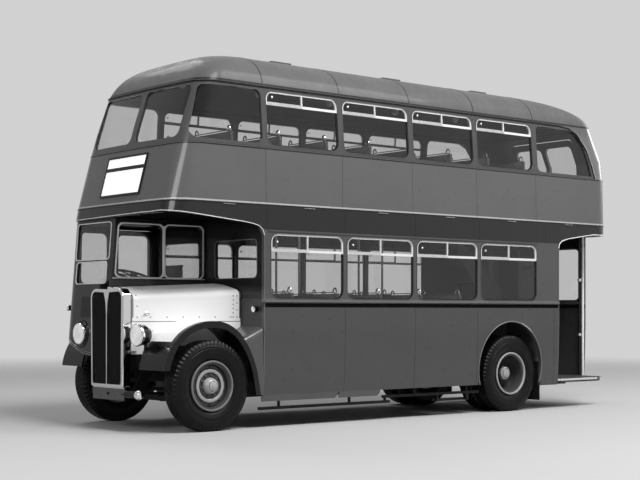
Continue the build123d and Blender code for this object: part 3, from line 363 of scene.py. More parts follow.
# roof: its own tone above the gutter line, and below it a dark band of painted shadow under the gutter
ROOF_BANDS_WITH_GUTTER_SHADOW = ((0.0, 0.012), (3.985, ROOF_TONE))
MATERIALS = {
    "body": paint("body_gloss", BODY_LIGHT_AND_SHADE_BANDS, mottle=0.06),
    "rear_body": rear_quarter(paint("body_and_rear_quarter", BODY_LIGHT_AND_SHADE_BANDS, mottle=0.06)),
    "seams": paint("seam_paint", SEAM_BANDS),
    "roof_seams": paint("roof_seam_paint", 0.030, rough=0.55, coat=0.10),
    "plain_body": paint("body_plain", 0.070),
    # body paint made lighter: a painted highlight on the beads, mouldings and edges that take it
    "light_body": paint("body_light", 0.15),
    "front": paint("front_panel", FRONT_SHADE_BANDS, coat=0.4),
    "shade": paint("bulkhead_panel", ((0.0, 0.040), (1.50, 0.010)), coat=0.3, spec=0.1),
    "roof": paint("roof_paint", ROOF_BANDS_WITH_GUTTER_SHADOW, rough=0.55, coat=0.10, mottle=0.12, wave=0.06),
    "black": paint("black_gloss", 0.003, rough=0.30, coat=0.35, mottle=0.3),
    "wings": white_crown(paint("wing_paint", 0.003, rough=0.30, coat=0.35, mottle=0.3)),
    "white": paint("white_gloss", 0.85, mottle=0.03, wave=0.05),
    "bonnet": paint("bonnet_panel", 0.90, rough=0.45, coat=0.10, mottle=0.03, wave=0.08, spec=0.3),
    "chassis": paint("chassis_black", 0.004, rough=0.55, coat=0.1, mottle=0.5, wave=0.0),
    "wheel": paint("wheel_paint", 0.055, rough=0.35, coat=0.3, mottle=0.15, wave=0.0),
    "ring": paint("wheel_ring", 0.34, rough=0.3, coat=0.4, mottle=0.12, wave=0.0),
    "chrome": bare_metal("chrome", 0.90, 0.05),
    "aluminium": bare_metal("aluminium", 0.90, 0.25, brushed=0.2),
    "frames": paint("frame_white", 0.70, rough=0.3, coat=0.2, mottle=0.05, wave=0.0),
    "steel": matt("oily_steel", 0.05, 0.5, 30.0, 0.0006, spec=0.6),
    "iron": matt("cast_iron", 0.04, 0.65, 50.0, 0.0015),
    "rubber": matt("black_rubber", 0.008, 0.6, 120.0, 0.0004, spec=0.3),
    "tyre": matt("tyre_rubber", 0.005, 0.40, 60.0, 0.0002, mottle=0.4, spec=0.16),
    "floor_boards": timber("floor_boards", 0.09),
    "lino": matt("brown_lino", 0.05, 0.55, 30.0, 0.0005),
    "lining": paint("inner_lining", LINING_BANDS, rough=0.5, coat=0.1),
    "moquette": cloth("seat_moquette", 0.09),
    "leather": matt("worn_leather", 0.05, 0.45, 90.0, 0.0008, spec=0.5),
    "glass": glass("window_glass", 0.90),
    "lens": glass("lamp_glass", 0.99),
    "grille": paint("grille_black", 0.006, rough=0.4, coat=0.1, mottle=0.3),
    # glows: painted light; the blind's stands in for daylight on the white blind, the reflectors' is a
    # painted reflection in the headlamp bowls
    "blind": matt("blank_blind", 0.95, 0.7, 60.0, 0.0002, mottle=0.01, glow=0.45),
    "reflector": matt("lamp_reflector", 0.80, 0.4, 60.0, 0.002, mottle=0.2, glow=0.22),
    "shadow": matt("canopy_lining", 0.006, 1.0, 60.0, 0.0002, spec=0.0),
    "plate": paint("blank_plate", 0.010, rough=0.4, coat=0.2),
}

# material slot of the record that matches the finish of each material
SLOT_OF = {
    "plain_body": "body_paint", "light_body": "body_paint", "seams": "body_paint", "roof_seams": "roof_paint",
    "black": "black_paint", "shadow": "black_paint", "plate": "black_paint", "rubber": "black_paint",
    "frames": "frame_aluminium", "aluminium": "frame_aluminium", "chrome": "bright_metal", "steel": "steel",
    "white": "white_paint", "blind": "white_paint", "reflector": "white_paint", "chassis": "chassis_paint",
    "ring": "wheel_paint", "tyre": "tyre", "moquette": "moquette", "leather": "seat_leather",
    "glass": "glass", "lens": "glass",
}

# CAD nodes that each material finishes
FINISH = {
    "body": "lower_nearside_wall lower_offside_wall rear_platform_panel upper_front upper_nearside_wall "
            "upper_offside_wall",
    "rear_body": "upper_rear_wall emergency_door",
    "front": "cab_shell cab_door",
    "shade": "front_bulkhead",
    "plain_body": "nearside_quarter_panel",
    "lining": "rear_bulkhead upper_floor",
    "roof": "roof",
    "floor_boards": "lower_floor",
    "lino": "platform staircase",
    "wings": "front_wings",
    "black": "destination_box headlamps",
    "bonnet": "bonnet bonnet_lower_side",
    "chrome": "radiator_shell",
    "grille": "radiator_grille",
    "chassis": "chassis_side_members chassis_cross_members gearbox_and_propshaft fuel_tank side_guards "
               "front_axle_beam rear_axle_casing leaf_springs seat_frames",
    "steel": "exhaust nearside_knuckle offside_knuckle track_rod",
    "iron": "engine_block",
    "leather": "driver_seat",
    "rubber": "steering_column",
    "frames": "vent_frames",
    "white": "handrails",
    "glass": "window_glass",
    "wheel": "front_nearside_rim front_offside_rim rear_nearside_rims rear_offside_rims",
    "tyre": "front_nearside_tyre front_offside_tyre rear_nearside_tyres rear_offside_tyres",
    "moquette": "seat_cushions seat_backs",
}
for material_name, node_names in FINISH.items():
    for node_name in node_names.split():
        mesh = NODES[node_name].data
        mesh.materials.clear()
        mesh.materials.append(MATERIALS[material_name])
        mesh.shade_smooth()
        mesh.set_sharp_from_angle(angle=math.radians(28))


# Mesh helpers


def new_meshes(count):
    """Empty meshes to build in."""
    return [bmesh.new() for _ in range(count)]


def box(bm, low, high):
    """Plain block between two corners."""
    corners = [
        bm.verts.new((x, y, z))
        for x in (low[0], high[0]) for y in (low[1], high[1]) for z in (low[2], high[2])
    ]
    for ids in ((0, 1, 3, 2), (4, 6, 7, 5), (0, 4, 5, 1), (2, 3, 7, 6), (0, 2, 6, 4), (1, 5, 7, 3)):
        bm.faces.new([corners[i] for i in ids])


def loop_mesh(bm, rings, closed_path=False):
    """Skin over a row of closed vertex rings, capped at its ends unless the row is closed too."""
    count = len(rings[0])
    rows = [[bm.verts.new(p) for p in ring] for ring in rings]
    pairs = list(zip(rows, rows[1:]))
    if closed_path:
        pairs.append((rows[-1], rows[0]))
    for a, b in pairs:
        for i in range(count):
            j = (i + 1) % count
            bm.faces.new((a[i], a[j], b[j], b[i]))
    if not closed_path:
        bm.faces.new(rows[0])
        bm.faces.new(list(reversed(rows[-1])))


def circle(centre, across, up, radius, sides, start=0.0):
    """Points of a circle in the plane of two unit vectors."""
    turn = 2 * math.pi / sides
    return [centre + (across * math.cos(turn * (i + start)) + up * math.sin(turn * (i + start))) * radius
            for i in range(sides)]


def tube(bm, points, radius, sides=8, closed=False):
    """Round bar along a path."""
    points = [Vector(p) for p in points]
    count = len(points)
    rings = []
    up = None
    for i, point in enumerate(points):
        before = points[i - 1] if i or closed else points[0]
        after = points[(i + 1) % count] if i < count - 1 or closed else points[-1]
        heading = (after - before).normalized()
        if up is None:
            up = heading.cross(Z if abs(heading.z) < 0.9 else X).normalized()
        across = heading.cross(up).normalized()
        up = across.cross(heading).normalized()
        rings.append(circle(point, across, up, radius, sides))
    loop_mesh(bm, rings, closed_path=closed)


def turned(bm, centre, axis, profile, steps=32):
    """Solid of revolution: (distance along the axis, radius) points about an axis through a point."""
    axis = Vector(axis).normalized()
    across = axis.cross(Z if abs(axis.z) < 0.9 else X).normalized()
    up = axis.cross(across).normalized()
    loop_mesh(bm, [circle(centre + axis * t, across, up, max(r, 0.0005), steps) for t, r in profile])


def studs(bm, points, radius, rise=0.003):
    """Round-headed rivets on a surface, from places with their outward normals."""
    for place, outward in points:
        turned(bm, place, outward, ((-0.001, radius), (rise * 0.5, radius * 0.9), (rise, radius * 0.45)), 8)


def rounded_rectangle(low, high, radius, steps=6):
    """Points of a rounded rectangle in its own plane."""
    (u0, v0), (u1, v1) = low, high
    corners = (
        (u1 - radius, v1 - radius), (u0 + radius, v1 - radius),
        (u0 + radius, v0 + radius), (u1 - radius, v0 + radius),
    )
    points = []
    for quarter, (u, v) in enumerate(corners):
        for i in range(steps + 1):
            angle = math.pi / 2 * (quarter + i / steps)
            points.append((u + radius * math.cos(angle), v + radius * math.sin(angle)))
    return points


def rounded(points, radius, steps=5):
    """Closed path through corner points with each corner rounded."""
    path = []
    count = len(points)
    for i, here in enumerate(points):
        here = Vector(here)
        before = (Vector(points[i - 1]) - here).normalized()
        after = (Vector(points[(i + 1) % count]) - here).normalized()
        half = math.acos(max(-1.0, min(1.0, before.dot(after)))) / 2
        cut = radius / math.tan(half)
        centre = here + (before + after).normalized() * (radius / math.sin(half))
        start, end = here + before * cut - centre, here + after * cut - centre
        for k in range(steps + 1):
            spoke = (start * (1 - k / steps) + end * (k / steps)).normalized() * radius
            path.append(tuple(centre + spoke))
    return path


def opening(u0, v0, u1, v1, radius):
    """Closed path round a rectangle with rounded corners."""
    return rounded([(u0, v0), (u1, v0), (u1, v1), (u0, v1)], radius)


def framed(bm, path, width, depth, place):
    """Frame along a closed path: width inwards, depth along the third coordinate of place()."""
    count = len(path)
    centre = [sum(p[k] for p in path) / count for k in (0, 1)]
    half = [max(p[k] for p in path) - centre[k] for k in (0, 1)]
    rings = []
    for u, v in path:
        a, b = [centre[k] + (p - centre[k]) * (1 - width / half[k]) for k, p in ((0, u), (1, v))]
        rings.append([place(u, v, 0.0), place(u, v, depth), place(a, b, depth), place(a, b, 0.0)])
    loop_mesh(bm, rings, closed_path=True)


def in_scene(name, data):
    """New object of the scene, of a mesh, a lamp or a camera."""
    obj = bpy.data.objects.new(name, data)
    bpy.context.scene.collection.objects.link(obj)
    return obj


def finished(name, bm):
    """Object of a mesh that is built."""
    mesh = bpy.data.meshes.new(name)
    bm.to_mesh(mesh)
    bm.free()
    return in_scene(name, mesh)


def piece(name, bm, material, body="bus", slot=None, smooth=35.0):
    """Finished piece in a material, riding on a body."""
    bmesh.ops.recalc_face_normals(bm, faces=bm.faces)
    obj = finished(name, bm)
    obj.data.materials.append(MATERIALS[material])
    obj.data.shade_smooth()
    obj.data.set_sharp_from_angle(angle=math.radians(smooth))
    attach(obj, body)
    slot = SLOT_OF[material] if slot is None else slot
    return obj


def tree_of(*names):
    """Search tree over the surfaces of CAD nodes."""
    verts, faces = [], []
    for name in names:
        mesh = NODES[name].data
        base = len(verts)
        verts += [v.co.copy() for v in mesh.vertices]
        faces += [[base + i for i in p.vertices] for p in mesh.polygons]
    return BVHTree.FromPolygons(verts, faces)


def hits(tree, *rays):
    """Places and outward normals where rays, each a start and a heading, first meet a surface."""
    found = []
    for start, heading in rays:
        place, normal, _, _ = tree.ray_cast(start, heading.normalized())
        if place is not None:
            found.append((place, -normal if normal.dot(heading) > 0 else normal))
    return found


# Windows


def window_trim():
    """Rubber round the panes, a raised edge on the pans, the sliding panes' rails and their knobs."""
    rubber, edge, rails = new_meshes(3)
    lip = 0.009
    rows = [(window, BAY * n) for window in (LOWER_WINDOW, UPPER_WINDOW) for n in range(BAYS)]
    for ((y0, z0), (y1, z1), bar), shift in rows:
        y0, y1 = y0 + shift, y1 + shift
        path = rounded_rectangle((y0, z0), (y1, z1), WINDOW_R)
        wide = rounded_rectangle((y0 - lip, z0 - lip), (y1 + lip, z1 + lip), WINDOW_R + lip)
        for side in SIDES:
            framed(rubber, path, 0.012, 0.020, lambda u, v, t: at(side * (side_x(v) - 0.036 + t), u, v))
            framed(edge, wide, lip, 0.004, lambda u, v, t: at(side * (side_x(v) - 0.001 + t), u, v))
            x = side_x(bar + 0.02)
            x0, x1 = sorted((side * (x - 0.012), side * (x - 0.002)))
            box(rails, at(x0, y0 + 0.02, bar + 0.001), at(x1, (y0 + y1) / 2, bar + 0.038))
            knob = at(side * (x - 0.012), y0 + 0.085, (bar + z1) / 2 + 0.010)
            turned(rails, knob, X * side, ((0, 0.008), (0.012, 0.014), (0.022, 0.012), (0.026, 0.005)), 12)
    piece("window_rubbers", rubber, "rubber", slot="")
    piece("window_pan_edges", edge, "plain_body")
    piece("sliding_pane_rails", rails, "aluminium")


window_trim()


# Panel joints and mouldings


def panel_joints():
    """Cover strips over the joints between side panels."""
    bm = bmesh.new()
    lower_seams = [1.945 + BAY * n for n in range(3)]
    rows = [(0.730 + BAY * n, 2.603, 3.236) for n in range(5)]
    rows += [(y, 2.302, 2.584) for y in [0.745] + lower_seams + [5.62]]
    rows += [(y, SKIRT_Z, 1.398) for y in lower_seams[:2] + [4.262]]
    rows.append((5.800, SIDE[0][0], 1.398))
    section = ((-0.004, -0.002), (-0.002, 0.0022), (0.002, 0.0022), (0.004, -0.002))
    for y, z0, z1 in rows:
        levels = [z0] + [z for z, _ in SIDE if z0 < z < z1] + [z1]
        for side in SIDES:
            rings = [[at(side * (side_x(z) + out), y + across, z) for across, out in section] for z in levels]
            loop_mesh(bm, rings)
    piece("panel_joint_strips", bm, "seams")


panel_joints()


def upper_plan(z, out):
    """Closed outline of the upper body at a height, pushed outwards: nearside, rear, offside, front."""
    low = [row for row in UPPER_PLANS if row[0] <= z][-1]
    high = [row for row in UPPER_PLANS if row[0] >= z][0]
    share = 0.0 if high[0] == low[0] else (z - low[0]) / (high[0] - low[0])
    half, front, rear, radius = [a + (b - a) * share for a, b in zip(low[1:], high[1:])]
    nose = (half * half + BOW * BOW) / (2 * BOW)
    front_y = front + nose - math.sqrt((nose - radius) ** 2 - (half - radius) ** 2)
    start = math.atan2(front_y - front - nose, half - radius)
    steps = 8
    corners = (
        (half - radius, front_y, radius + out, start, 0.0),
        (half - REAR_CORNER_R, rear - REAR_CORNER_R, REAR_CORNER_R + out, 0.0, math.pi / 2),
    )
    points = []
    for x, y, reach, first, last in corners:
        for i in range(steps + 1):
            angle = first + (last - first) * i / steps
            points.append((x + reach * math.cos(angle), y + reach * math.sin(angle)))
    points += [(-x, y) for x, y in reversed(points)]
    across = points[0][0]
    for i in range(1, 10):
        x = across * (2 * i / 10 - 1)
        points.append((x, front + nose - math.sqrt((nose + out) ** 2 - x * x)))
    return points


def band_round(bm, z_low, z_high, thick, rear=None):
    """Flat band round the upper body; with a rear limit it stops short of the swept corner."""
    corners = ((z_low, -0.004), (z_low, thick), (z_high, thick), (z_high, -0.004))
    rings = list(zip(*[[at(x, y, z) for x, y in upper_plan(z, out)] for z, out in corners]))
    if rear is None:
        loop_mesh(bm, rings, closed_path=True)
        return
    ahead = [ring for ring in rings if ring[0].y < along(rear)]
    ahead.sort(key=lambda ring: math.atan2(ring[0].x, along(3.0) - ring[0].y))
    for side in SIDES:
        tail = [at(side * abs(p.x), rear, p.z) for p in ahead[-1]]
        ahead.insert(len(ahead) if side == NEARSIDE else 0, tail)
    loop_mesh(bm, ahead)


def gutters():
    """Rain gutter round the front and sides, swept down behind the rear windows, and the waist moulding."""
    dark, light = new_meshes(2)
    rear = SWEEP[0][0]
    # The dark bands and the dark tube are black strips of painted shadow, under the gutter and under the
    # waist moulding.
    band_round(dark, 3.958, 3.970, 0.010, rear)
    band_round(light, 3.970, 3.977, 0.016, rear)
    band_round(dark, 3.238, 3.246, 0.004)
    band_round(light, 3.246, 3.258, 0.006)
    tree = tree_of("upper_rear_wall")
    for side in SIDES:
        path = [place for place, _ in hits(tree, *[(at(side * 2.0, y, z), -side * X) for y, z in SWEEP])]
        tube(light, [p + Vector((side * 0.004, 0.0, 0.004)) for p in path], 0.008, 8)
        tube(dark, [p + Vector((side * 0.003, -0.010, -0.008)) for p in path], 0.006, 8)
    piece("gutter_shadow", dark, "black")
    piece("gutter_edge", light, "plain_body")


gutters()


def corner_rays(centre, first, last, count, level):
    """Rays at a round corner from outside, in equal steps of angle, at the heights that level() gives."""
    rays = []
    for i in range(count):
        angle = math.radians(first + (last - first) * i / (count - 1))
        out = Vector((math.cos(angle), math.sin(angle), 0.0))
        start = centre + out * 2.0
        start.z = level(out.y)
        rays.append((start, -out))
    return rays


def edge_beads():
    """Bright bead along the canopy's edge and the doorway's head, painted beads down the side's ends."""
    bm, ends = new_meshes(2)
    canopy_z, step_z, door_z = 2.457, 2.384, 2.378
    rise = (2.500 - door_z) / 1.320

    def canopy_level(y):
        return step_z + rise * (0.420 - y)

    rays = [(at(-1.05 + 0.128 * i, -1.5, canopy_z + 0.0015 * i), Y) for i in range(13)]
    rays += [(at(x, -1.5, step_z + rise), Y) for x in (0.560, 0.680, 0.780)]
    rays += corner_rays(at(0.853, -0.330, 0.0), -80, 0, 9, lambda out_y: canopy_level(-0.330 + out_y * 0.29))
    rays += [(at(2.0, y, canopy_level(y)), -X) for y in (-0.20, 0.10, 0.42)]
    path = [place + normal * 0.001 for place, normal in hits(tree_of("upper_front"), *rays)]
    curve = ((0.540, 2.367), (0.630, 2.345), (0.685, 2.300), (0.706, 2.240))
    path += [at(HALF_WIDTH + 0.001, y, z) for y, z in curve]
    tube(bm, path, 0.005, 6)
    for y in (0.706, 5.890):
        tube(ends, [at(side_x(z) + 0.001, y, z) for z in (0.390, 0.700, 1.150, 2.236)], 0.005, 6)
    curve = ((5.890, 2.240), (5.905, 2.300), (5.960, 2.345), (6.090, door_z))
    path = [at(HALF_WIDTH + 0.001, y, z) for y, z in curve]
    rays = [(at(2.0, y, min(canopy_z, door_z + 0.001 + (y - 6.09) * 0.1436)), -X) for y in (6.25, 6.45, 6.64)]
    rays += corner_rays(at(0.843, 6.765, 0.0), 0, 90, 7, lambda out_y: canopy_z)
    path += [place + normal * 0.001 for place, normal in hits(tree_of("upper_rear_wall"), *rays)]
    tube(bm, path, 0.007, 6)
    piece("body_edge_beads", bm, "frames")
    piece("side_end_beads", ends, "light_body")


edge_beads()


def waist_mouldings():
    """Half-round moulding under the lower windows in the lighter body tone of painted highlight, with a black
    strip of painted shadow beneath it.
    """
    light, dark = new_meshes(2)
    moulding = ((-0.002, 1.452), (0.008, 1.455), (MOULDING, 1.464), (0.008, 1.473), (-0.002, 1.476))
    shadow_strip = ((-0.002, 1.404), (0.0015, 1.405), (0.0015, 1.451), (-0.002, 1.4515))
    for side, end in ((NEARSIDE, 5.884), (OFFSIDE, 6.740)):
        for bm, profile in ((light, moulding), (dark, shadow_strip)):
            loop_mesh(bm, [[at(side * (HALF_WIDTH + out), y, z) for out, z in profile] for y in (0.716, end)])
    piece("waist_moulding", light, "light_body")
    piece("waist_recess", dark, "shadow")


waist_mouldings()


def canopy_lining():
    """Matt black sheet of painted shade, laid under the canopy beside the cab."""
    bm = bmesh.new()
    tree = tree_of("upper_front", "upper_floor")
    across, back = 24, 28
    highest, steepest, gap = 2.56, -0.9, 0.0025
    grid = {}
    for i in range(across + 1):
        for j in range(back + 1):
            start = at(-0.040 + 1.120 * i / across, -0.640 + 1.330 * j / back, 2.0)
            for place, normal in hits(tree, (start, Z)):
                if normal.z < steepest and place.z < highest:
                    grid[i, j] = bm.verts.new(place - Z * gap)
    for i in range(across):
        for j in range(back):
            corners = [grid.get(key) for key in ((i, j), (i + 1, j), (i + 1, j + 1), (i, j + 1))]
            if None not in corners:
                heights = [v.co.z for v in corners]
                if max(heights) - min(heights) < 0.02:
                    bm.faces.new(corners)
    loose = [v for v in bm.verts if not v.link_faces]
    bmesh.ops.delete(bm, geom=loose, context="VERTS")
    bmesh.ops.solidify(bm, geom=bm.faces[:], thickness=0.001)
    piece("canopy_lining", bm, "shadow")


canopy_lining()


def side_ventilators():
    """Small hooded ventilators under the bead, along each side."""
    hood, slot = new_meshes(2)
    profile = ((0.0, 2.582), (0.007, 2.581), (0.011, 2.574), (0.009, 2.570), (0.0, 2.571))
    ends = ((0.0, 0.2), (0.012, 1.0), (0.158, 1.0), (0.170, 0.2))
    for side in SIDES:
        for n in range(6):
            y = 0.120 + 1.180 * n
            for bm, drop, reach in ((hood, 0.0, 1.0), (slot, 0.010, 0.5)):
                loop_mesh(bm, [[at(side * (HALF_WIDTH - 0.001 + out * swell * reach), y + end, z - drop)
                                for out, z in profile] for end, swell in ends])
    piece("side_ventilator_hoods", hood, "light_body")
    piece("side_ventilator_slots", slot, "black")


side_ventilators()


def rear_arch_beads():
    """Bead round each rear wheel arch and a flap behind the wheels."""
    bm, flap = new_meshes(2)
    reach = 0.618 + 0.008
    first, sweep = math.radians(-20), math.radians(220)
    for side in SIDES:
        path = []
        for i in range(33):
            angle = first + sweep * i / 32
            z = max(0.596 + reach * math.sin(angle), SKIRT_Z)
            path.append(at(side * (side_x(z) + 0.002), 4.920 + reach * math.cos(angle), z))
        tube(bm, path, 0.009, 6)
        x0, x1 = sorted((side * 0.62, side * 1.085))
        box(flap, at(x0, 5.545, 0.130), at(x1, 5.556, 0.664))
    piece("rear_arch_beads", bm, "light_body")
    piece("mud_flaps", flap, "rubber")


rear_arch_beads()


def rocker_strips():
    """Kick strips below the skirt behind the front wheels."""
    bm = bmesh.new()
    top = SKIRT_Z + 0.002
    x = side_x(top)
    for side in SIDES:
        for y0, y1 in ((0.690, 1.850), (1.870, 2.540)):
            rings = []
            for y, bottom in ((y0, 0.310), (y1 - 0.05, 0.310), (y1, 0.345)):
                section = ((-0.014, bottom), (-0.002, bottom), (0.002, top), (-0.012, top + 0.004))
                rings.append([at(side * (x + out), y, z) for out, z in section])
            loop_mesh(bm, rings)
    piece("kick_strips", bm, "plain_body")


rocker_strips()


# Front end

CAB_SETBACK, CAB_RISE = 0.135, 1.610


def cab_front_y(z):
    """Distance behind the front axle of the cab's raked front at a height."""
    return -0.695 + (z - 0.840) * CAB_SETBACK / CAB_RISE


def lamps():
    """Headlamp lenses with chrome rims, side lamps and rear lamps."""
    rims, lenses, bowls, bodies = new_meshes(4)
    rim = ((0.020, 0.1225), (0.040, 0.130), (0.056, 0.130), (0.066, 0.124), (0.066, 0.118), (0.058, 0.116))
    bowl = ((0.0600, 0.114), (0.0625, 0.100), (0.0630, 0.060), (0.0635, 0.0))
    angles = [math.pi / 2 * (1 - i / 6) for i in range(7)]
    dome = [(0.060, 0.117)] + [(0.064 + 0.016 * math.cos(a), 0.117 * math.sin(a)) for a in angles]
    for side in SIDES:
        centre = at(side * LAMP_X, LAMP_Y, LAMP_Z)
        for bm, profile, steps in ((rims, rim, 48), (bowls, bowl, 40), (lenses, dome, 48)):
            turned(bm, centre, -Y, profile, steps)
    bezel = at(-LAMP_X, cab_front_y(LAMP_Z), LAMP_Z)
    flange = ((-0.004, 0.170), (0.008, 0.166), (0.012, 0.156), (0.010, 0.150))
    turned(bodies, bezel, (0, -CAB_RISE, CAB_SETBACK), flange, 48)
    side_lamp = (
        (bodies, ((-0.03, 0.030), (0.030, 0.034), (0.044, 0.036))),
        (rims, ((0.040, 0.036), (0.052, 0.036), (0.056, 0.030))),
        (lenses, ((0.050, 0.030), (0.062, 0.022), (0.068, 0.006))),
    )
    rear_lamp = (
        (bodies, ((-0.02, 0.040), (0.012, 0.042), (0.020, 0.036))),
        (lenses, ((0.016, 0.032), (0.028, 0.022), (0.031, 0.006))),
    )
    rows = (
        (at(1.010, 0.690, 1.383), -Y, side_lamp), (at(-1.075, -0.560, 1.400), (-0.5, -1, 0), side_lamp),
        (at(0.600, 7.052, 0.780), Y, rear_lamp), (at(-0.780, 7.052, 0.780), Y, rear_lamp),
    )
    for place, heading, lamp in rows:
        for bm, profile in lamp:
            turned(bm, place, heading, profile, 20)
    piece("lamp_rims", rims, "chrome")
    piece("lamp_reflectors", bowls, "reflector")
    piece("lamp_lenses", lenses, "lens")
    piece("small_lamp_bodies", bodies, "black")


lamps()


def radiator_details():
    """Filler cap, plate over the apron, the frame's front tube, the starting handle's dog and two pipes."""
    chrome, black, plate = new_meshes(3)
    radiator_x = 0.081
    filler = ((0, 0.036), (0.024, 0.036), (0.032, 0.030), (0.038, 0.010))
    turned(chrome, at(radiator_x, -0.710, 1.604), Z, filler, 24)
    for front, back, top in ((-0.739, -0.733, 0.478), (-0.743, -0.738, 0.353)):
        box(plate, at(-0.262, front, 0.345), at(0.424, back, top))
    hanger = at(0.340, -0.700, 0.418)
    turned(black, hanger, X, ((0, 0.034), (0.020, 0.040), (0.300, 0.044), (0.310, 0.050)), 24)
    cap = ((0.305, 0.050), (0.322, 0.056), (0.352, 0.054), (0.372, 0.040), (0.380, 0.015))
    turned(chrome, hanger, X, cap, 28)
    turned(black, at(0.300, -0.700, 0.418), X, ((0, 0.030), (0.045, 0.030)), 20)
    tube(black, [at(radiator_x, y, 0.415) for y in (-0.55, -0.755)], 0.014, 12)
    for z, y0, y1 in ((0.900, -0.700, -0.560), (0.884, -0.690, -0.560)):
        low_end = [at(0.452, y0, z), at(0.455, y1, z)]
        high_end = [at(0.470, y1 + 0.075, z + 0.030), at(0.478, y1 + 0.110, z + 0.085)]
        tube(plate, low_end + high_end, 0.006, 8)
    piece("radiator_brightwork", chrome, "chrome")
    piece("front_frame_tube", black, "chassis")
    piece("apron_plate", plate, "plain_body")


radiator_details()


def cab_frames():
    """Bright frames of the cab's panes, the bulkhead's panes and the front quarter window."""
    bright, thin = new_meshes(2)
    inner_x = -0.050
    corners = ((-0.582, 1.747), (0.100, 1.747), (0.100, 2.398), (-0.530, 2.398))
    for path in (rounded(corners, 0.065), opening(0.108, 1.747, 0.682, 2.398, 0.065)):
        framed(bright, path, 0.015, 0.010, lambda u, v, t: at(inner_x - 0.002 + t, u, v))

    def on_cab_front(u, v, t):
        return at(u, cab_front_y(v) + 0.002 - t + max(0.0, -0.863 - u) * 0.08, v)

    for corners in ((-0.868, 1.680, -0.162, 1.948), (-0.908, 1.962, -0.122, 2.410)):
        framed(bright, opening(*corners, 0.045), 0.011, 0.009, on_cab_front)
    for x0, x1 in ((0.160, 1.013), (-0.986, -0.160)):
        path = opening(x0, 1.744, x1, 2.206, 0.065)
        framed(thin, path, 0.008, 0.006, lambda u, v, t: at(u, BULKHEAD + 0.001 - t, v))
    path = opening(-0.428, 1.692, -0.012, 2.338, 0.075)
    framed(thin, path, 0.012, 0.007, lambda u, v, t: at(-HALF_WIDTH + 0.001 - t, u, v))
    box(bright, at(-0.049, 0.098, 1.770), at(-0.038, 0.114, 2.375))
    box(bright, at(-0.049, -0.610, 1.741), at(-0.036, 0.690, 1.749))
    piece("cab_window_frames", bright, "frames")
    piece("bulkhead_window_frames", thin, "light_body")


cab_frames()


def cab_front_details():
    """Blank number plate and the double bead along the cab's swept lower edge."""
    plate, bead = new_meshes(2)
    path = opening(-0.690, 1.285, -0.400, 1.530, 0.015)
    loop_mesh(plate, [[at(u, cab_front_y(v), v) - Y * t for u, v in path] for t in (-0.002, 0.005)])
    tree = tree_of("cab_shell")
    for rise in (0.010, 0.034):
        rays = []
        for i in range(25):
            x = -0.300 - 0.640 * i / 24
            sweep = 0.839 + 0.141 * (max(0.0, -0.430 - x) / 0.500) ** 1.6
            rays.append((at(x, -1.2, sweep + rise), Y))
        tube(bead, [place - Y * 0.001 for place, _ in hits(tree, *rays)], 0.006, 6)
    piece("number_plate", plate, "plate")
    piece("cab_foot_beads", bead, "light_body")


cab_front_details()


def bonnet_details():
    """Rivets, edge trims and the catch of the bonnet, and the screws of the panel under it."""
    rivets, trim, catch, lower = new_meshes(4)
    bonnet = tree_of("bonnet")

    def from_nearside(y, z):
        return at(1.2, y, z), -X

    places = [(-0.430 + 1.00 * i / 5, 1.290) for i in range(6)]
    for y, count in ((-0.590, 3), (0.600, 6), (0.650, 4)):
        places += [(y, 1.290 + 0.25 * i / (count - 1)) for i in range(count)]
    studs(rivets, hits(bonnet, *[from_nearside(y, z) for y, z in places]), 0.008)
    screws = [from_nearside(-0.36 + 0.05 * i, 1.130) for i in range(8)]
    studs(lower, hits(tree_of("bonnet_lower_side"), *screws), 0.007)
    (place, normal), = hits(bonnet, from_nearside(-0.480, 1.330))
    turned(catch, place, normal, ((-0.002, 0.022), (0.008, 0.020), (0.014, 0.010)), 20)
    box(catch, place + Vector((0.002, -0.035, -0.006)), place + Vector((0.016, 0.035, 0.006)))
    for y, width in ((-0.641, 0.010), (0.684, 0.012)):
        middle = at(0.15, y, 1.35)
        rays = []
        for i in range(25):
            angle = math.radians(-12 + 102 * i / 24)
            out = Vector((1.2 * math.cos(angle), 0.0, 1.2 * math.sin(angle)))
            rays.append((middle + out, -out))
        path = [place + normal * 0.001 for place, normal in hits(bonnet, *rays)]
        if len(path) > 3:
            tube(trim, path, width / 2, 6)
    piece("bonnet_rivets", rivets, "steel", body="bonnet")
    piece("bonnet_edge_trim", trim, "rubber", body="bonnet")
    piece("bonnet_catches", catch, "chrome", body="bonnet")
    piece("lower_side_screws", lower, "steel")


bonnet_details()


def destination_blinds():
    """Two blank blinds behind the glass of the destination box."""
    bm = bmesh.new()
    tree = tree_of("destination_box")
    gap, thickness = 0.0025, 0.002
    for levels in ((2.720, 3.000), (3.044, 3.152)):
        rings = []
        for i in range(9):
            x = -0.404 + 0.808 * i / 8
            low, high = [place - Y * gap for place, _ in hits(tree, *[(at(x, -1.5, z), Y) for z in levels])]
            rings.append([low, high, high + Y * thickness, low + Y * thickness])
        loop_mesh(bm, rings)
    piece("destination_blinds", bm, "blind")


destination_blinds()


# Roof


def roof_seams():
    """Cover strips across the roof at the pillars."""
    bm = bmesh.new()
    tree = tree_of("roof")
    half = 1.074
    section = ((-0.011, -0.002), (-0.008, 0.003), (0.008, 0.003), (0.011, -0.002))
    for n in range(5):
        rays = [(at(half * math.sin(math.pi * (i / 32 - 0.5)), 0.730 + BAY * n, 5.0), -Z) for i in range(33)]
        loop_mesh(bm, [[place + Y * across + out * lift for across, lift in section]
                       for place, out in hits(tree, *rays)])
    piece("roof_seam_strips", bm, "roof_seams")


roof_seams()


# Wheels

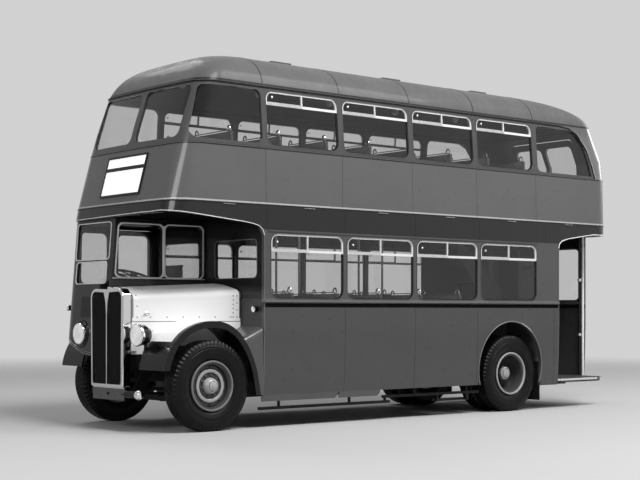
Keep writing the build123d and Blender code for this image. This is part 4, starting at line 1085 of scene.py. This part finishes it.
BRIGHT_RING = ((0.0690, 0.191), (0.0745, 0.184), (0.0765, 0.171), (0.0745, 0.158), (0.0690, 0.151))
LOCK_RING = (
    (0.1000, 0.263), (0.1150, 0.264), (0.1225, 0.270), (0.1235, 0.279), (0.1200, 0.286), (0.1100, 0.288),
)
FRONT_DOME = ((0.060, 0.094), (0.090, 0.090), (0.112, 0.082), (0.128, 0.066), (0.139, 0.044), (0.1425, 0.020))
REAR_DOME = ((-0.010, 0.092), (0.016, 0.088), (0.032, 0.070), (0.041, 0.040), (0.043, 0.012))
HUB_CAP = ((0.1400, 0.026), (0.1470, 0.024), (0.1490, 0.014))
WHEEL_NUT = ((-0.004, 0.015), (0.014, 0.015), (0.018, 0.008), (0.028, 0.007))
CAP_NUT = ((-0.004, 0.007), (0.006, 0.006), (0.008, 0.003))
TWIN_OFFSET = 0.150

# distance out from the tyre's middle and radius
TYRE_WALL = (
    (0.084, 0.2565), (0.0845, 0.284), (0.106, 0.304), (0.117, 0.335), (0.1215, 0.352), (0.1235, 0.356),
    (0.125, 0.372), (0.125, 0.392), (0.1245, 0.410), (0.1265, 0.414), (0.1265, 0.420), (0.1230, 0.424),
    (0.1220, 0.436), (0.1240, 0.440), (0.1235, 0.447), (0.1195, 0.452), (0.1170, 0.466),
)


def around(centre, across, radius, angle):
    """Point on a circle about an axle, some way out along it."""
    return centre + Vector((across, radius * math.cos(angle), radius * math.sin(angle)))


def ring_round(bm, centre, side, profile):
    """Ring about an axle, from its (distance out, radius) section."""
    angles = [2 * math.pi * k / 64 for k in range(64)]
    rings = [[around(centre, side * t, r, angle) for t, r in profile] for angle in angles]
    loop_mesh(bm, rings, closed_path=True)


def wheel_details(body, side, centre, front):
    """Nuts, lock ring and dome of a front wheel or a rear pair; a front wheel also has a bright ring."""
    axis = X * side
    nuts, rings, crowns = new_meshes(3)
    face = centre if front else centre + axis * TWIN_OFFSET
    disc, nut_circle = (0.052, 0.119) if front else (0.012, 0.124)
    for i in range(10):
        place = around(centre, side * disc, nut_circle, 2 * math.pi * (i + 0.25) / 10)
        turned(nuts, place, axis, WHEEL_NUT, 6)
    turned(crowns, face, axis, FRONT_DOME if front else REAR_DOME, 40)
    ring_round(rings, face, side, BRIGHT_RING if front else LOCK_RING)
    piece(body + "_nuts", nuts, "steel", body)
    piece(body + "_rings", rings, "ring", body)
    if front:
        locks = bmesh.new()
        ring_round(locks, face, side, LOCK_RING)
        turned(crowns, face, axis, HUB_CAP, 24)
        for i in range(8):
            turned(crowns, around(face, side * 0.1215, 0.070, 2 * math.pi * i / 8), axis, CAP_NUT, 6)
        piece(body + "_lock_ring", locks, "light_body", body, slot="wheel_paint")
    piece(body + "_hub_cap", crowns, "ring", body)


def treaded_tyre(bm, centre):
    """Tyre with ribs round the tread, cut edges on the shoulders and rings on the walls."""
    groove_depth = 0.012
    steps = 240
    rings = []
    for i in range(steps):
        angle = 2 * math.pi * i / steps
        notch = 0.010 if i % 4 in (0, 1) else 0.0
        zig = 0.006 if i % 4 in (1, 2) else -0.006
        outer = list(TYRE_WALL) + [
            (0.1120 - notch * 0.5, 0.488 - notch * 0.4),
            (0.1000 - notch, 0.508 - notch * 0.6),
            (0.0900, TYRE_R - 0.001),
        ]
        for groove, shift in ((0.050, zig), (0.016, -zig)):
            for across, depth in ((0.006, 0.0), (0.003, groove_depth), (-0.003, groove_depth), (-0.006, 0.0)):
                outer.append((groove + across + shift, TYRE_R - depth))
        section = outer + [(-t, r) for t, r in reversed(outer)]
        rings.append([around(centre, t, r, angle) for t, r in section])
    loop_mesh(bm, rings, closed_path=True)


def tyres(end, plural, offsets):
    """Treaded tyres in place of the plain ones of a front wheel or a rear pair."""
    bm = bmesh.new()
    for offset in offsets:
        treaded_tyre(bm, Vector(JOINT_AT["spin_" + end]) + X * offset)
    tyre = piece(end + "_treaded_tyre" + plural, bm, "tyre", end + "_wheel" + plural)
    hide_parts(end + "_tyre" + plural)


for side, name in ((NEARSIDE, "nearside"), (OFFSIDE, "offside")):
    wheel_details("front_" + name + "_wheel", side, Vector(JOINT_AT["spin_front_" + name]), True)
    wheel_details("rear_" + name + "_wheels", side, Vector(JOINT_AT["spin_rear_" + name]), False)
for name in ("nearside", "offside"):
    tyres("front_" + name, "", (0.0,))
    tyres("rear_" + name, "s", (-TWIN_OFFSET, TWIN_OFFSET))


# Seats


def seat_blocks(node_name):
    """Low and high corners of each separate block of a CAD node."""
    bm = bmesh.new()
    bm.from_mesh(NODES[node_name].data)
    bmesh.ops.remove_doubles(bm, verts=bm.verts, dist=0.0001)
    seen, blocks = set(), []
    for first in bm.verts:
        if first in seen:
            continue
        seen.add(first)
        found = [first]
        for vert in found:
            joined = {link.other_vert(vert) for link in vert.link_edges} - seen
            seen |= joined
            found += joined
        blocks.append([Vector([pick(v.co[i] for v in found) for i in range(3)]) for pick in (min, max)])
    bm.free()
    return blocks


def simulated_pad(size, cap):
    """Points and faces about the centre of a crowned cushion, inflated by a short cloth simulation."""
    cell, margin, last_frame = 0.045, 0.03, 16
    bm = bmesh.new()
    bmesh.ops.create_cube(bm, size=1.0)
    bmesh.ops.scale(bm, vec=Vector(size) - Vector((margin, margin, margin)), verts=bm.verts)
    for length, heading in zip(size, (X, Y, Z)):
        cells = max(3, round(length / cell))
        for i in range(1, cells):
            geom = bm.verts[:] + bm.edges[:] + bm.faces[:]
            cut = heading * ((i / cells - 0.5) * (length - margin))
            bmesh.ops.bisect_plane(bm, geom=geom, plane_co=cut, plane_no=heading)
    obj = finished("pad", bm)
    mesh = obj.data
    scene = bpy.context.scene
    rest = [v.co.copy() for v in mesh.vertices]
    faces = [list(p.vertices) for p in mesh.polygons]
    shape = rest
    modifier = obj.modifiers.new("Cloth", "CLOTH")
    modifier.settings.use_pressure = True
    modifier.settings.uniform_pressure_force = 4.0
    modifier.settings.effector_weights.gravity = 0.0
    modifier.settings.quality = 4
    modifier.point_cache.frame_start = 1
    modifier.point_cache.frame_end = last_frame
    for step in range(1, last_frame + 1):
        scene.frame_set(step)
    moved = obj.evaluated_get(bpy.context.evaluated_depsgraph_get()).data
    shape = [v.co.copy() for v in moved.vertices]
    scene.frame_set(1)
    points = []
    for a, b in zip(rest, shape):
        shift = b - a
        points.append(a + (shift.normalized() * cap if shift.length > cap else shift))
    bpy.data.objects.remove(obj)
    bpy.data.meshes.remove(mesh)
    return points, faces


def add_pad(bm, pad, centre):
    """Adds the points and faces of a pad about a centre."""
    points, faces = pad
    verts = [bm.verts.new(centre + p) for p in points]
    for face in faces:
        bm.faces.new([verts[i] for i in face])


def seats():
    """Cushions and backs in cloth with piped edges, in place of the plain blocks."""
    inset = Vector((0.012, 0.012, 0.012))
    rows = (("seat_cushions", "seat_cushion_pads", 0.7), ("seat_backs", "seat_back_pads", 0.6))
    for node_name, name, fill in rows:
        bm, piping = new_meshes(2)
        pads = {}
        for low, high in seat_blocks(node_name):
            size = tuple(round(v, 3) for v in (high - low))
            if size not in pads:
                pads[size] = simulated_pad(size, 0.014)
            add_pad(bm, pads[size], (low + high) / 2)
            u, v = low + inset, high - inset
            if node_name == "seat_cushions":
                path = [(x, y, high.z - 0.018) for x, y in rounded_rectangle((u.x, u.y), (v.x, v.y), 0.04, 3)]
            else:
                path = [(x, low.y + 0.014, z) for x, z in rounded_rectangle((u.x, u.z), (v.x, v.z), 0.06, 3)]
            tube(piping, path, 0.006, 6, closed=True)
        pad = piece(name, bm, "moquette", smooth=60)
        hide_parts(node_name)
        piece(name + "_piping", piping, "leather")


seats()


def seat_handles():
    """Bright grab handles on both ends of the seat backs."""
    bm = bmesh.new()
    for low, high in seat_blocks("seat_backs"):
        side = NEARSIDE if low.x > 0 else OFFSIDE
        inner, outer = (low.x, high.x) if side == NEARSIDE else (high.x, low.x)
        y, z = (low.y + high.y) / 2, high.z - 0.012
        for x in (inner + side * 0.05, outer - side * 0.08):
            angles = [math.pi * i / 8 for i in range(9)]
            points = [(x + side * 0.032 * math.cos(a), y, z + 0.055 * math.sin(a)) for a in angles]
            tube(bm, points, 0.009, 8)
    piece("seat_grab_handles", bm, "chrome")


seat_handles()


def driver_place():
    """Padded driver's seat on its pedestal, in place of the plain block."""
    bm, base = new_meshes(2)
    low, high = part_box("driver_seat")
    middle = (low + high) / 2
    cushion_z = low.z + 0.330
    width, length, rise = high.x - low.x - 0.01, high.y - low.y - 0.09, high.z - cushion_z
    cushion = ((width, length, 0.110), (middle.x, middle.y - 0.035, cushion_z + 0.05))
    back = ((width, 0.085, rise - 0.06), (middle.x, high.y - 0.050, (cushion_z + high.z) / 2 + 0.03))
    for size, centre in (cushion, back):
        add_pad(bm, simulated_pad(size, 0.016), Vector(centre))
    pedestal = ((0, 0.110), (0.02, 0.110), (0.05, 0.045), (0.30, 0.045), (0.31, 0.150), (0.335, 0.150))
    turned(base, Vector((middle.x, middle.y, low.z)), Z, pedestal, 24)
    pad = piece("driver_seat_pads", bm, "leather", smooth=60)
    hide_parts("driver_seat")
    piece("driver_seat_pedestal", base, "chassis")


driver_place()


# Inside and rear


def ceiling_lamps():
    """Round glass lamps under both ceilings."""
    shades, holders = new_meshes(2)
    rows = [(0.42, y, 2.455) for y in (1.4, 2.6, 3.8, 5.0)]
    rows += [(0.40, y, 4.190) for y in (0.6, 1.8, 3.0, 4.2, 5.4)]
    for x, y, z in rows:
        for side in SIDES:
            top = at(side * x, y, z)
            turned(holders, top, -Z, ((-0.012, 0.055), (0.010, 0.055), (0.014, 0.046)), 20)
            turned(shades, top, -Z, ((0.010, 0.044), (0.030, 0.050), (0.056, 0.040), (0.068, 0.014)), 20)
    piece("ceiling_lamp_shades", shades, "white")
    piece("ceiling_lamp_holders", holders, "aluminium")


ceiling_lamps()


def door_glass():
    """Panes of the emergency door and of the driver's door."""
    rear_panes, cab_pane = new_meshes(2)

    def rear_y(z):
        (z0, y0), (z1, y1), (z2, y2) = [(row[0], row[3]) for row in UPPER_PLANS[2:5]]
        if z < z1:
            return y0 + (y1 - y0) * (z - z0) / (z1 - z0)
        return y1 + (y2 - y1) * (z - z1) / (z2 - z1)

    for x0, x1 in ((-0.537, -0.038), (0.038, 0.537)):
        path = opening(x0, 3.303, x1, 3.797, 0.068)
        loop_mesh(rear_panes, [[at(u, rear_y(v) - 0.020, v) - Y * t for u, v in path] for t in (0.0, 0.004)])
    path = opening(0.123, 1.763, 0.567, 2.307, 0.058)
    loop_mesh(cab_pane, [[at(-HALF_WIDTH + 0.020 + t, u, v) for u, v in path] for t in (0.0, 0.004)])
    piece("emergency_door_glass", rear_panes, "glass", body="emergency_door")
    piece("cab_door_glass", cab_pane, "glass", body="cab_door")


door_glass()


def platform_details():
    """Edge strip and grab rails of the open platform."""
    bright, pole = new_meshes(2)
    edge_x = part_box("platform")[1].x
    box(bright, at(edge_x - 0.002, 5.900, 0.385), at(edge_x + 0.012, 6.760, 0.412))
    x, y = 0.672, 6.905
    tube(pole, [at(x, y, 0.440), at(x, y, 2.430)], 0.016, 12)
    for z in (1.020, 1.820):
        turned(bright, at(x, y, z), Z, ((-0.022, 0.017), (-0.018, 0.026), (0.018, 0.026), (0.022, 0.017)), 16)
    box(bright, at(0.560, 6.99, 1.475), at(0.610, 7.01, 1.492))
    piece("platform_brightwork", bright, "aluminium")
    piece("platform_rail", pole, "black")


platform_details()


# Studio


def studio_floor():
    """Round grey floor that turns clear towards its edge."""
    bm = bmesh.new()
    bmesh.ops.create_circle(bm, cap_ends=True, radius=60.0, segments=96)
    floor = finished("floor", bm)
    material, tree, shader = new_material("studio_floor")
    feed(tree, shader, {"Base Color": grey(0.43), "Roughness": 0.75})
    place = node(tree, "TexCoord").outputs["Object"]
    distance = node(tree, "VectorMath", {0: place}, operation="LENGTH").outputs["Value"]
    limits = {"Value": distance, "From Min": 9.0, "From Max": 26.0}
    fade = node(tree, "MapRange", limits, interpolation_type="SMOOTHSTEP").outputs["Result"]
    clear = node(tree, "BsdfTransparent").outputs["BSDF"]
    mix_shaders(tree, find(tree, "OUTPUT_MATERIAL"), fade, shader.outputs["BSDF"], clear)
    floor.data.materials.append(material)


def surroundings():
    """Even soft light, with a pale background for the camera and for what glass and gloss show."""
    world = bpy.data.worlds.new("studio")
    bpy.context.scene.world = world
    world.use_nodes = True
    tree = world.node_tree
    tree.nodes.clear()
    turn = node(tree, "MapRange", {"Value": axes(tree, "Generated")["Y"], "From Min": -1.0}).outputs["Result"]
    backdrop = ramp(tree, turn, ((0.0, 0.40), (0.30, 0.42), (0.65, 0.64), (1.0, 0.64)))
    lighting = node(tree, "Background", {"Color": grey(0.9), "Strength": 0.16}).outputs["Background"]
    shown = node(tree, "Background", {"Color": backdrop, "Strength": 1.0}).outputs["Background"]
    rays = node(tree, "LightPath").outputs
    seen = reckon(tree, "MAXIMUM", rays["Is Camera Ray"], rays["Is Transmission Ray"])
    seen = reckon(tree, "MAXIMUM", seen, rays["Is Glossy Ray"])
    mix_shaders(tree, node(tree, "OutputWorld"), seen, lighting, shown)


def soft_lamps():
    """Round lamps, all aimed at the middle of the bus, from rows of name, place, size and power."""
    rows = (
        ("key_lamp", (9.5, -2.0, 15.0), 7.0, 2600.0),
        ("side_lamp", (10.0, 9.0, 15.0), 7.0, 1500.0),
        ("front_lamp", (5.0, -15.0, 8.0), 6.0, 650.0),
        ("rear_lamp", (1.0, 17.0, 8.0), 7.0, 700.0),
        ("offside_lamp", (-11.0, -1.0, 15.0), 7.0, 700.0),
    )
    target = Vector((0, 0, 1.8))
    for name, place, size, power in rows:
        data = bpy.data.lights.new(name, "AREA")
        data.shape = "DISK"
        data.size = size
        data.energy = power
        lamp = in_scene(name, data)
        lamp.location = place
        lamp.rotation_euler = (target - Vector(place)).to_track_quat("-Z", "Y").to_euler()


studio_floor()
surroundings()
soft_lamps()


# Camera

# place, turn, lens and shift worked out from the photo's upright edges, wheels and window pillars
camera_data = bpy.data.cameras.new("camera")
camera_data.lens = 76.94
camera_data.sensor_width = 36.0
camera_data.shift_y = 0.11304
camera_data.clip_end = 200.0
camera = in_scene("camera", camera_data)
camera.location = at(13.705, -8.931, 1.345)
camera.rotation_euler = (math.pi / 2, 0.0, math.radians(50.185))
bpy.context.scene.camera = camera
bpy.context.scene.view_settings.view_transform = "Standard"
